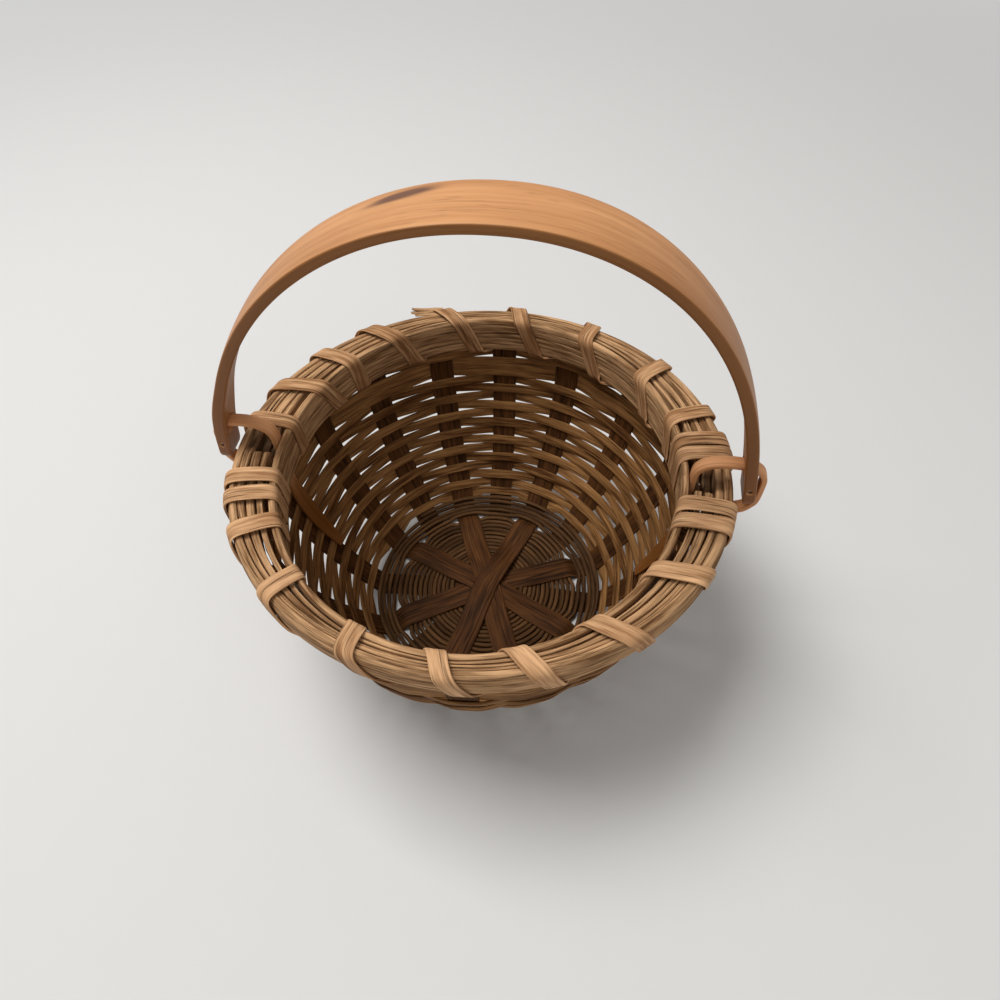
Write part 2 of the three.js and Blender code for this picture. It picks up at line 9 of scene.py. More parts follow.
import bpy
import numpy as np
from mathutils import Euler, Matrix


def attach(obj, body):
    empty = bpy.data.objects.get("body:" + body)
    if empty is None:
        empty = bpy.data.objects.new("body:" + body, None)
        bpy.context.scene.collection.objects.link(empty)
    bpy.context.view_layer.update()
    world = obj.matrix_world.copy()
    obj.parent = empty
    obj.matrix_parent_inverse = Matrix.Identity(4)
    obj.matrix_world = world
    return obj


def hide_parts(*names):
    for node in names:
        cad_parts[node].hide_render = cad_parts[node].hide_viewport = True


bl_info = {
    "name": "Splint Basket",
    "version": (1, 0, 0),
    "blender": (4, 5, 0),
    "location": "View3D > Sidebar > Basket",
    "description": "Adds the splints, rim, ears and bow of a woven wood basket",
    "category": "Add Mesh",
}

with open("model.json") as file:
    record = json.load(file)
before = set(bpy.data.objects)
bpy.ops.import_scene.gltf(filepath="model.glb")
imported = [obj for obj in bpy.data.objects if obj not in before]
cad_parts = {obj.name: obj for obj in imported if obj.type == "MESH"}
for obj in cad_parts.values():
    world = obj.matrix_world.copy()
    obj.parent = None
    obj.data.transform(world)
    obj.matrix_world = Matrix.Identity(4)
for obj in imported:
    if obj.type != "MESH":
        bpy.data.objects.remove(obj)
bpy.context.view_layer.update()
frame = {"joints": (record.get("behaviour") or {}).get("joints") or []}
hinge_height = frame["joints"][0]["pos_m"][2]


# Sizes and colours

def length(name, default, description):
    """A length that a user can change, in metres."""
    return bpy.props.FloatProperty(
        name=name, description=description, default=default, min=0.0, precision=5, unit="LENGTH")


def turn(name, default, description):
    """An angle that a user can change, kept in radians and written here in degrees."""
    return bpy.props.FloatProperty(name=name, description=description, default=math.radians(default),
                                   unit="ROTATION", subtype="ANGLE")


def tint(name, default, description):
    """A colour that a user can change, written here as a screen colour from 0 to 255."""
    linear = [((c / 255 + 0.055) / 1.055) ** 2.4 for c in default]
    return bpy.props.FloatVectorProperty(name=name, description=description, default=linear, size=3,
                                         min=0.0, max=1.0, subtype="COLOR")


class BasketSizes(bpy.types.PropertyGroup):
    """Sizes of the woven body."""
    lay_gap: length("Lay gap", 0.0003, "Gap between splints that lie on each other")
    weave_gap: length("Weave gap", 0.0004, "Gap between a stake and the weavers")
    rim_top: length("Rim top", 0.119, "Top of the hoops above the ground")
    rim_start: length("Rim start", 0.098, "Height above which the wall stands upright")
    mouth_radius: length("Mouth radius", 0.102, "Middle of the wall at the rim")
    corner_radius: length("Corner radius", 0.0635, "Middle of the wall where it leaves the base")
    spoke_width: length("Spoke width", 0.0135, "Width of a base spoke and its stakes")
    spoke_thickness: length("Spoke thickness", 0.0008, "Thickness of a spoke")
    stake_top: length("Stake top", 0.1105, "Height of the stakes' ends")
    reed_radius: length("Reed radius", 0.0011, "Half the thickness of the round reed")
    reed_pitch: length("Reed pitch", 0.0026, "Step outward of the reed in one turn")
    reed_start: length("Reed start", 0.03, "Radius at which the reed clears the crossing spokes")
    reed_foot: length("Reed foot", 0.0608, "Radius at which the reed leaves the ground")
    reed_step: length("Reed step", 0.0038, "Step outward where the upper spokes go down")
    reed_climb: length("Reed climb", 0.0029, "Step of the reed in one turn up the foot of the wall")
    weaver_width: length("Weaver width", 0.0051, "Width of a narrow weaver")
    weaver_thickness: length("Weaver thickness", 0.0009, "Thickness of a weaver")
    base_row_width: length("Base row width", 0.0046, "Width of the lowest weaver")
    wide_row_width: length("Wide row width", 0.0122, "Width of the wide weaver below the rim")
    row_spacing: length("Row spacing", 0.00065, "Gap between two rows")
    first_row_start: length("First row start", 0.0058, "From the corner to the lowest row")


class RimSizes(bpy.types.PropertyGroup):
    """Sizes of the hoops, fillers, lashing and ears."""
    inner_thickness: length("Inner hoop thickness", 0.003, "Thickness of the inner hoop")
    inner_height: length("Inner hoop height", 0.0205, "Height of the inner hoop")
    inner_mouth: length("Inner hoop mouth", 0.0926, "Inner face of the inner hoop at the ears")
    outer_thickness: length("Outer hoop thickness", 0.004, "Thickness of the outer hoop at front and back")
    outer_ear_thickness: length("Outer hoop ear thickness", 0.005, "Thickness of the outer hoop at the ears")
    outer_height: length("Outer hoop height", 0.016, "Height of the outer hoop")
    outer_reach: length("Outer hoop reach", 0.116, "Outer face of the outer hoop at the ears")
    filler_thickness: length("Filler thickness", 0.00085, "Thickness of a filler splint at front and back")
    filler_height: length("Filler height", 0.0076, "Height of the inner filler splint")
    filler_skirt: length("Filler skirt", 0.014, "Height of the two fillers outside the stakes")
    lashing_width: length("Lashing width", 0.0075, "Width of the lashing splint")
    lashing_thickness: length("Lashing thickness", 0.0009, "Thickness of the lashing splint")
    lashing_gap: length("Lashing gap", 0.00055, "Gap between the lashing and the hoops")
    ear_width: length("Ear width", 0.0064, "Width of an ear's arch")
    ear_thickness: length("Ear thickness", 0.0024, "Thickness of an ear's arch")
    ear_tail_width: length("Ear tail width", 0.0054, "Width of an ear's tails")
    ear_tail_thickness: length("Ear tail thickness", 0.0012, "Thickness of an ear's tails")
    ear_play: length("Ear play", 0.0036, "From the handle's leg at the bore to the outside of the ear")
    ear_crown: length("Ear crown", 0.011, "Middle of an ear's crown above the hoops")
    ear_spring: length("Ear spring", 0.0015, "Start of an ear's arch above the hoops")
    ear_inner_end: length("Inner tail end", 0.034, "Height of the tip of the inside tail")
    ear_outer_end: length("Outer tail end", 0.064, "Height of the tip of the outside tail")


class HandleSizes(bpy.types.PropertyGroup):
    """Sizes of the bentwood bow."""
    half_span: length("Half span", 0.12, "Middle of a leg at its hole from the middle of the basket")
    apex: length("Apex", 0.2432, "Middle of the bow at its top")
    end: length("End", 0.1102, "Height of the leg ends")
    centre: length("Centre", 0.08, "Height at which the bow's curve would be widest")
    top_width: length("Top width", 0.0274, "Width of the bow at its top")
    top_thickness: length("Top thickness", 0.0039, "Thickness of the bow at its top")
    leg_width: length("Leg width", 0.0132, "Width of a leg at its end")
    leg_thickness: length("Leg thickness", 0.0052, "Thickness of a leg at its end")
    lean: length("Lean", 0.0102, "How far the bow leans to the right at its top")
    twist: turn("Twist", 10, "Turn of the left leg about its own length")
    pivot: length("Pivot height", hinge_height, "Height of the holes for the ears")
    hole: length("Hole radius", 0.0047, "Radius of the holes for the ears")
    peg_radius: length("Peg radius", 0.0009, "Radius of the pegs across the leg ends")
    peg_drop: length("Peg drop", 0.0092, "Peg below the holes for the ears")


class WoodColours(bpy.types.PropertyGroup):
    """Colours of the woods, as a light and a dark tone each."""
    spoke_light: tint("Spoke light", (97, 60, 29), "Light grain of the spokes")
    spoke_dark: tint("Spoke dark", (42, 23, 8), "Dark grain of the spokes")
    weaver_light: tint("Weaver light", (161, 117, 71), "Light grain of the weavers")
    weaver_dark: tint("Weaver dark", (80, 47, 19), "Dark grain of the weavers")
    reed_light: tint("Reed light", (110, 77, 45), "Light side of the reed")
    reed_dark: tint("Reed dark", (48, 28, 12), "Dark side of the reed")
    hoop_light: tint("Hoop light", (200, 158, 115), "Light grain of the hoops")
    hoop_dark: tint("Hoop dark", (112, 78, 47), "Dark grain of the hoops")
    lashing_light: tint("Lashing light", (221, 175, 130), "Light grain of the lashing")
    lashing_dark: tint("Lashing dark", (142, 100, 64), "Dark grain of the lashing")
    ear_light: tint("Ear light", (236, 173, 122), "Light grain of the ears")
    ear_dark: tint("Ear dark", (166, 110, 64), "Dark grain of the ears")
    bow_light: tint("Bow light", (206, 150, 100), "Light grain of the bow")
    bow_dark: tint("Bow dark", (152, 97, 50), "Dark grain of the bow")
    # This colour also paints shade: on the bow's narrow faces (with some dirt), on its legs and on the ears'
    # tails
    bow_edge_and_shade: tint("Bow edge", (116, 69, 24), "Narrow faces, pores and streaks of the bow and the ears")
    stain: tint("Stain", (72, 38, 32), "Stain of the bow")
    # This colour also paints the shade in the fillers' dips under the ears
    split: tint("Split", (34, 20, 11), "Splits and dirt in the splints")
    floor: tint("Floor", (214, 213, 211), "The floor")


# Arrays

UP = np.array([0.0, 0.0, 1.0])


def ripple(share, seed, cycles=(2, 3, 5, 7)):
    """A smooth wobble round a closed ring, at most 1: sines of whole cycles with seeded phases, added up."""
    rng = np.random.default_rng(seed)
    phase = rng.uniform(0, 2 * np.pi, len(cycles))
    weight = rng.uniform(0.5, 1, len(cycles))
    return np.sin(2 * np.pi * np.multiply.outer(share, cycles) + phase) @ (weight / weight.sum())


def eased(share):
    """A share t kept from 0 to 1, with a smooth start and end: t^2 (3 - 2 t)."""
    t = np.clip(share, 0, 1)
    return t * t * (3 - 2 * t)


def between(first, last, share):
    """The value at a share of the way from the first to the last."""
    return first + (last - first) * share


def kept(values):
    """Values kept from 0 to 1."""
    return np.clip(values, 0, 1)


def unit(rows):
    """Each row over its own length."""
    return rows / np.linalg.norm(rows, axis=-1, keepdims=True)


def lengths_of(points):
    """Length along a line at each of its points."""
    return np.append(0, np.cumsum(np.linalg.norm(np.diff(points, axis=0), axis=1)))


def soften(rows, step, reach, closed):
    """A polyline at equal steps, each point the bell-weighted mean of the line within reach of it.

    The first three columns are the place; the rest are carried along with it.
    """
    rows = np.vstack([rows, rows[:1]]) if closed else rows
    at = lengths_of(rows[:, :3])
    count = max(int(round(at[-1] / step)), 8)
    even = np.linspace(0, at[-1], count + 1)[:count if closed else count + 1]
    dense = np.stack([np.interp(even, at, column) for column in rows.T], 1)
    half = max(int(round(reach / step)), 1)
    weight = np.hanning(2 * half + 3)[1:-1]
    if closed:
        padded = np.concatenate([dense[-half:], dense, dense[:half]])
    else:
        padded = np.concatenate([2 * dense[0] - dense[half:0:-1], dense,
                                 2 * dense[-1] - dense[-2:-half - 2:-1]])
    return np.stack([np.convolve(column, weight / weight.sum(), "valid") for column in padded.T], 1)


def along_of(middle, closed):
    """Unit direction of a path at each of its points, from the point before to the point after."""
    if closed:
        return unit(np.roll(middle, -1, 0) - np.roll(middle, 1, 0))
    return unit(np.gradient(middle, axis=0))


def swept(rows, closed):
    """For rows of place and across: share of the way, middle, across made square to the path, and out."""
    middle, across = rows[:, :3], rows[:, 3:6]
    along = along_of(middle, closed)
    across = unit(across - along * (across * along).sum(1, keepdims=True))
    share = np.linspace(0, 1, len(rows), endpoint=not closed)
    return share, middle, across, unit(np.cross(across, along))


def rings_of(middle, across, out, u, v):
    """Rings of points: middle + across times u + out times v, with u and v as sections in metres."""
    u, v = np.broadcast_arrays(u, v)
    return middle[:, None] + across[:, None] * u[..., None] + out[:, None] * v[..., None]


# Outline of a flat splint's section with rounded edges, in half widths and half thicknesses
FLAT = np.array([
    (-1, 0), (-0.985, -0.6), (-0.93, -1), (-0.82, -1), (-0.4, -1), (0, -1), (0.4, -1), (0.82, -1),
    (0.93, -1), (0.985, -0.6), (1, 0), (0.985, 0.6), (0.93, 1), (0.82, 1), (0.4, 1), (0, 1),
    (-0.4, 1), (-0.82, 1), (-0.93, 1), (-0.985, 0.6)])


def flat_roof(height, ridge, faces):
    """A low roof on these faces of the flat outline: height times 1 - |u - ridge|, ridge by ridge."""
    return height * (1 - np.abs(FLAT[:, 0] - ridge[:, None])) * faces


def bulged(count, power):
    """A rounded oblong: cosine and sine of an angle round it, each to 2 over power."""
    angle = 2 * np.pi * np.arange(count) / count
    c, s = np.cos(angle), np.sin(angle)
    return np.sign(c) * np.abs(c) ** (2 / power), np.sign(s) * np.abs(s) ** (2 / power)


def planed(half_width, half_thickness, corner, arc=5, face=11, edge=3):
    """A board's outline in metres: quarter rounds joined by a wide face and a narrow edge in turn."""
    corners = np.array([(1, 1), (-1, 1), (-1, -1), (1, -1), (1, 1)], float)
    rows = []
    for n in range(4):
        angle = np.linspace(0, np.pi / 2, arc) + n * np.pi / 2
        rows.append(np.stack([*np.repeat(corners[n][:, None], arc, 1), np.cos(angle), np.sin(angle)], 1))
        slide = np.linspace(0, 1, (edge if n % 2 else face) + 2)[1:-1, None]
        straight = corners[n] + (corners[n + 1] - corners[n]) * slide
        facing = np.broadcast_to([np.cos(angle[-1]), np.sin(angle[-1])], straight.shape)
        rows.append(np.hstack([straight, facing]))
    flat_u, flat_v, round_u, round_v = np.vstack(rows).T
    half_width, half_thickness, corner = (
        np.asarray(a, float)[..., None] for a in (half_width, half_thickness, corner))
    return (flat_u * (half_width - corner) + round_u * corner,
            flat_v * (half_thickness - corner) + round_v * corner)


# Pieces

def add_object(name, data):
    """An object in the scene with this data."""
    thing = bpy.data.objects.new(name, data)
    bpy.context.scene.collection.objects.link(thing)
    return thing


def skin(name, rings, closed, shift, marks):
    """A mesh object over rings of points: ring i joins ring i + 1, point k joins k + 1, open ends are capped.

    Its map, strip, is metres along and round the strip, moved by shift. Marks are values at all points,
    at the rings or at each point of them.
    """
    count, sides, _ = rings.shape
    spans = count if closed else count - 1
    i, k = np.arange(spans)[:, None], np.arange(sides)[None, :]
    after, beside = (i + 1) % count, (k + 1) % sides
    quads = np.stack([i * sides + k, i * sides + beside, after * sides + beside, after * sides + k], -1)
    middles = rings.mean(1)
    steps = np.linalg.norm(np.roll(middles, -1, 0) - middles, axis=1)
    u = np.append(0, np.cumsum(steps))[:spans + 1] + shift
    around = np.linalg.norm(np.roll(rings, -1, 1) - rings, axis=2).mean(0)
    v = np.append(0, np.cumsum(around))
    grid = np.stack(np.meshgrid(u, v, indexing="ij"), -1)
    maps = np.stack([grid[:-1, :-1], grid[:-1, 1:], grid[1:, 1:], grid[1:, :-1]], 2).reshape(-1, 2)
    corners = quads.reshape(-1)
    starts = np.arange(0, corners.size, 4)
    # six times the volume inside, which is negative where the faces look inward
    a, b, c, d = (rings.reshape(-1, 3)[quads[..., n].ravel()] - middles.mean(0) for n in range(4))
    volume = (np.cross(a, b) * c).sum() + (np.cross(a, c) * d).sum()
    if not closed:
        ends = np.concatenate([np.arange(sides)[::-1], (count - 1) * sides + np.arange(sides)])
        starts = np.concatenate([starts, [corners.size, corners.size + sides]])
        corners = np.concatenate([corners, ends])
        maps = np.concatenate([maps, grid[0, :-1][::-1], grid[-1, :-1]])
        for ring, sign in ((rings[0], -1), (rings[-1], 1)):
            rim = ring - middles.mean(0)
            volume += sign * (np.cross(rim[0], rim[1:-1]) * rim[2:]).sum()
    if volume < 0:
        tail = np.append(starts[1:], corners.size)
        loop = np.repeat(starts + tail - 1, tail - starts) - np.arange(corners.size)
        corners, maps = corners[loop], maps[loop]
    mesh = bpy.data.meshes.new(name)
    mesh.vertices.add(count * sides)
    mesh.vertices.foreach_set("co", rings.astype(np.float32).ravel())
    mesh.loops.add(corners.size)
    mesh.loops.foreach_set("vertex_index", corners.astype(np.int32))
    mesh.polygons.add(starts.size)
    mesh.polygons.foreach_set("loop_start", starts.astype(np.int32))
    mesh.update(calc_edges=True)
    mesh.uv_layers.new(name="strip").data.foreach_set("uv", maps.astype(np.float32).ravel())
    for mark, values in marks.items():
        values = np.broadcast_to(values[:, None] if np.ndim(values) == 1 else values, (count, sides))
        layer = mesh.attributes.new(mark, "FLOAT", "POINT")
        layer.data.foreach_set("value", values.astype(np.float32).ravel())
    mesh.shade_smooth()
    if mesh.validate(clean_customdata=False):
        raise RuntimeError(f"{name} has a broken face")
    return add_object(name, mesh)


def settle(piece, body, slot, finish, *nodes):
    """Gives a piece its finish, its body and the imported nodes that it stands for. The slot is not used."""
    piece.data.materials.append(finish)
    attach(piece, body)
    if nodes:
        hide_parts(*nodes)


# Shape of the basket

# Angles of the two arms of each upper spoke, round the basket from +X
UPPER_ARMS = ((22, 210), (157, 334), (112, 292), (70, 256))
# Power with which the wall flares
FLARE = 1.95
# Gap between two spokes of the stack in the middle, radius up to which they lie flat in it, and
# radii at which the lower and the upper ones have come down from it
STACK_GAP = 0.00025
STACK_REACH = 0.011
LOWER_REACH = 0.0286
UPPER_REACH = 0.031
# The reed's one larger step outward: the turn with it, and the share of a turn that it takes
STEP_TURN = 8
STEP_SPAN = 0.076
# Where the reed closes up between the upper spokes: degrees from a spoke at which that starts and
# over which it grows, then its most inside and outside the step and the turns in which it fades
CLOSING_START, CLOSING_GROWTH = 8.3, 4.2
CLOSING_INSIDE, FADE_INSIDE = 0.0022, 6
CLOSING_OUTSIDE, FADE_OUTSIDE = 0.0015, 2.3
# Length of the wall's foot that the reed may climb
CLIMB = 0.012
# For each kind of strip, the distance between its rings and the reach within which its line is softened
SPOKE_LINE = (0.0014, 0.0034)
REED_LINE = (0.0015, 0.0016)
WEAVER_LINE = (0.0021, 0.0036)
LASHING_LINE = (0.0011, 0.0028)
EAR_LINE = (0.0009, 0.0028)
BOW_LINE = (0.0016, 0.003)


def degrees_off(angles, others):
    """Degrees from each of the others to each angle, from -180 to 180."""
    return (np.asarray(angles)[..., None] - others + 180) % 360 - 180


def arm_angles():
    """Angles of the upper spokes' arms, of the lower ones midway between them, and of all the stakes."""
    upper = np.sort(np.array(UPPER_ARMS, float).ravel())
    lower = np.sort(((upper + np.append(upper[1:], upper[0] + 360)) / 2) % 360)
    return upper, lower, np.sort(np.concatenate([upper, lower]))


def outward(angle):
    """Level unit directions away from the middle at angles in degrees."""
    a = np.radians(angle)
    return np.stack([np.cos(a), np.sin(a), np.zeros_like(a)], -1)


def sideways(angle):
    """Level unit directions round the basket at angles in degrees."""
    return outward(np.asarray(angle) + 90)


class Body:
    """Levels and curves of the woven body that several pieces share.

    At share s of the way up to the rim the wall's radius is mouth - (mouth - corner) (1 - s)^flare.
    """

    def __init__(self, size):
        self.size = size
        self.spoke_level = size.spoke_thickness / 2
        self.reed_level = size.spoke_thickness + size.lay_gap + size.reed_radius
        self.over_reed = self.reed_level + size.reed_radius + size.lay_gap + size.spoke_thickness / 2
        self.weave_offset = size.spoke_thickness / 2 + size.weave_gap + size.weaver_thickness / 2
        self.flat_turns = (size.reed_foot - size.reed_start - size.reed_step) / size.reed_pitch
        self.z = np.linspace(self.reed_level, size.stake_top, 601)
        share = kept((self.z - self.reed_level) / (size.rim_start - self.reed_level))
        self.r = size.mouth_radius - (size.mouth_radius - size.corner_radius) * (1 - share) ** FLARE
        self.length = lengths_of(np.stack([self.r, self.z], 1))

    def wall(self, length):
        """Radius, height, rise and run of the wall at a length along it from the corner."""
        slope = np.arctan2(np.gradient(self.z), np.gradient(self.r))
        r, z, tilt = (np.interp(length, self.length, a) for a in (self.r, self.z, slope))
        return r, z, np.sin(tilt), np.cos(tilt)

    def wall_at(self, height):
        """The same at a height."""
        return self.wall(np.interp(height, self.z, self.length))

    def reed(self, turns):
        """Radius of the reed on the ground: a steady step outward in each turn, with one larger step.

        Between the upper spokes the turns on both sides of that step close up again.
        """
        size = self.size
        past = turns - STEP_TURN
        passed = eased(past / STEP_SPAN + 0.5)
        side = np.abs(degrees_off(360 * np.asarray(turns), arm_angles()[0])).min(-1)
        inner = CLOSING_INSIDE * kept(1 + past / FADE_INSIDE)
        outer = -CLOSING_OUTSIDE * kept(1 - past / FADE_OUTSIDE)
        closing = eased((side - CLOSING_START) / CLOSING_GROWTH) * between(inner, outer, passed)
        return size.reed_start + size.reed_pitch * turns + size.reed_step * passed + closing

    def reed_spot(self, turns):
        """Radius and height of the reed: on the ground to its foot, then inside the foot of the wall."""
        size = self.size
        inset = size.spoke_thickness / 2 + size.lay_gap + size.reed_radius
        r, z, rise, run = self.wall(np.linspace(0, CLIMB, 60))
        foot = np.append([size.reed_foot, self.reed_level], np.stack([r - inset * rise, z + inset * run], 1))
        foot = foot.reshape(-1, 2)
        climbed = np.maximum(turns - self.flat_turns, 0) * size.reed_climb
        up_r, up_z = (np.interp(climbed, lengths_of(foot), column) for column in foot.T)
        flat = turns <= self.flat_turns
        return np.where(flat, self.reed(turns), up_r), np.where(flat, self.reed_level, up_z)


# A spoke's bend into the wall: its start inside the corner radius, then a step out and up
BEND_INSIDE, BEND_OUT, BEND_UP = 0.0026, 0.0017, 0.0005
# How far inside the middle between two turns of the reed an upper spoke goes down
SLOT_INSIDE = 0.00025


def spoke_path(body, index, upper, arms):
    """One spoke from stake top to stake top, as rows of place and direction across.

    In the middle its height is h = o + (s - o) g, with s its level in the stack, o its level further
    out and g falling smoothly from 1 to 0 between two radii. An upper spoke goes down through the
    reed's larger step.
    """
    size = body.size
    level = body.spoke_level + index * (size.spoke_thickness + STACK_GAP)
    rest = body.over_reed if upper else body.spoke_level
    inner = np.linspace(0.0, UPPER_REACH if upper else LOWER_REACH, 24)
    drape = between(rest, level, eased((inner[-1] - inner) / (inner[-1] - STACK_REACH)))
    bend = size.corner_radius - BEND_INSIDE
    corner = [(bend, body.spoke_level), (bend + BEND_OUT, body.spoke_level + BEND_UP)]
    wall = np.stack(body.wall(np.linspace(0, body.length[-1], 40))[:2], 1)
    lines = []
    for angle, sign in zip(arms, (1, -1)):
        base = np.stack([inner, drape], 1)[1:]
        if upper:
            turns = STEP_TURN - 1 + angle / 360
            slot = (body.reed(turns) + body.reed(turns + 1)) / 2 - SLOT_INSIDE
            half = (body.over_reed - body.spoke_level) / 2
            base = np.vstack([base, [(slot - half, body.over_reed), (slot + half, body.spoke_level)]])
        flat = np.vstack([base, corner, wall])
        place = outward(angle) * flat[:, :1] + UP * flat[:, 1:]
        lines.append(np.hstack([place, np.broadcast_to(sign * sideways(angle), place.shape)]))
    middle = sideways((arms[0] + arms[1] + 180) / 2)
    return np.vstack([lines[0][::-1], [[0, 0, level, *middle]], lines[1]])


# Height of the roof on an upper spoke's face, and a spoke's wander to its sides
SPOKE_ROOF, SPOKE_WANDER = 0.00042, 0.0003
# Height from which a spoke is darker as a stake, and the height over which that grows
STAKE_FOOT, STAKE_DARKENING = 0.004, 0.02


def make_spokes(body, colours):
    """Eight spokes: a flat section with rounded edges along each spoke's line, a little uneven in width.

    The inside face of an upper one is a low roof with the ridge off the middle.
    """
    size = body.size
    _, lower, _ = arm_angles()
    lower_arms = [(lower[i], lower[i + 4]) for i in range(4)]
    finish = splint_wood("spoke", colours, 0.9, 0.66)
    for index, arms in enumerate([*lower_arms, *UPPER_ARMS]):
        number, upper = index + 1, index >= 4
        layer, which = "upper" if upper else "lower", index % 4 + 1
        rows = soften(spoke_path(body, index, upper, arms), *SPOKE_LINE, False)
        share, middle, across, out = swept(rows, False)
        half = size.spoke_width / 2 * (1 + 0.025 * ripple(share, 100 + number, (3, 5, 8, 13)))
        drift = SPOKE_WANDER * ripple(share, 130 + number, (2, 5, 9))
        u = FLAT[:, 0] * half[:, None] + drift[:, None]
        v = FLAT[:, 1] * size.spoke_thickness / 2
        if upper:
            inside = np.sign(out[len(out) // 2, 2])
            ridge = 0.45 * ripple(share, 150 + number, (1, 2, 3))
            v = v + flat_roof(SPOKE_ROOF, ridge, inside * kept(inside * FLAT[:, 1]))
        stake = kept((middle[:, 2] - STAKE_FOOT) / STAKE_DARKENING)
        tone = 0.35 * ripple(number / 8, 7) + 0.3 * ripple(share, 170 + number)
        piece = skin(f"{layer}_spoke_splint_{which}", rings_of(middle, across, out, u, v), False,
                     1.7 * number, {"age": 0.35 * stake, "tone": tone})
        settle(piece, "basket", "spoke_splint", finish, f"{layer}_spoke_{which}")


# The reed's first turn, counted from the one that clears the spokes' stack, its last turns up the
# wall, and its points in each turn
REED_FIRST, REED_UP, REED_POINTS = -4.4, 2, 110
# Half width and height of its rise over a stake, the share of that by which it dips, and its wobble
RISE_REACH, RISE, DIP_SHARE, REED_WOBBLE = 0.0062, 0.00055, 0.35, 0.00016
# The reed's thickness over that of the solids
REED_FULLNESS = 1.13


def make_reed(body, colours):
    """The round reed: a spiral with a step outward in each turn, over the lower spokes and under the upper.

    Outside the upper spokes' ends it rises over every other stake and dips between, turn by turn.
    """
    size = body.size
    last = body.flat_turns + REED_UP
    turns = np.linspace(REED_FIRST, last, int((last - REED_FIRST) * REED_POINTS))
    _, lower, stakes = arm_angles()
    angle = 360 * turns
    r, level = body.reed_spot(turns)
    # over the stack of the lower spokes
    near = np.abs(np.radians(degrees_off(angle, lower))) * r[:, None]
    stack = np.arange(8) % 4 * (size.spoke_thickness + STACK_GAP)
    fall = eased((LOWER_REACH - r) / (LOWER_REACH - STACK_REACH))[:, None] * stack
    lift = (eased(1.5 - near / size.spoke_width * 1.6) * fall).max(1)
    # in and out of the stakes outside the larger step
    crossing = np.exp(-((np.radians(degrees_off(angle, stakes)) * r[:, None] / RISE_REACH) ** 2))
    parity = np.where((np.arange(16) + np.floor(turns + 0.02)[:, None]) % 2 == 0, 1.0, -DIP_SHARE)
    weave = RISE * (crossing * parity).sum(1) * kept((turns - STEP_TURN - 0.05) / 0.1)
    wobble = REED_WOBBLE * ripple(turns / 9, 5, (13, 29, 41, 67))
    place = outward(angle) * (r + wobble - 0.3 * weave * (turns > body.flat_turns))[:, None]
    place[:, 2] = level + lift + weave
    rows = soften(np.hstack([place, outward(angle)]), *REED_LINE, False)
    share, middle, across, out = swept(rows, False)
    u, v = bulged(9, 2)
    radius = size.reed_radius * REED_FULLNESS * (1 + 0.07 * ripple(share, 6, (40, 71, 113)))[:, None]
    piece = skin("base_reed_coil", rings_of(middle, across, out, u * radius, v * radius), False, 3.0,
                 {"age": 0.3, "tone": 0.5 * ripple(share, 8, (5, 11, 23, 57))})
    finish = splint_wood("reed", colours, 0.7, 0.6)
    settle(piece, "basket", "round_reed", finish, "base_reed")


# A weaver between two stakes: share of the way, and share of its offset at the first stake
BETWEEN_STAKES = ((0.3, 0.22), (0.7, -0.22))
# How far it lies flat past the edge of a stake
PAST_STAKE = 0.0006
# Its width over that of the solids, the height of its roofs, its wander up and down, and its roll
WEAVER_FULLNESS, WEAVER_ROOF, WEAVER_WANDER, WEAVER_ROLL = 1.07, 0.00022, 0.0003, 0.00016
# How much lower the lowest row reaches outside the stakes
LOWEST_ROW_REACH = 0.0016


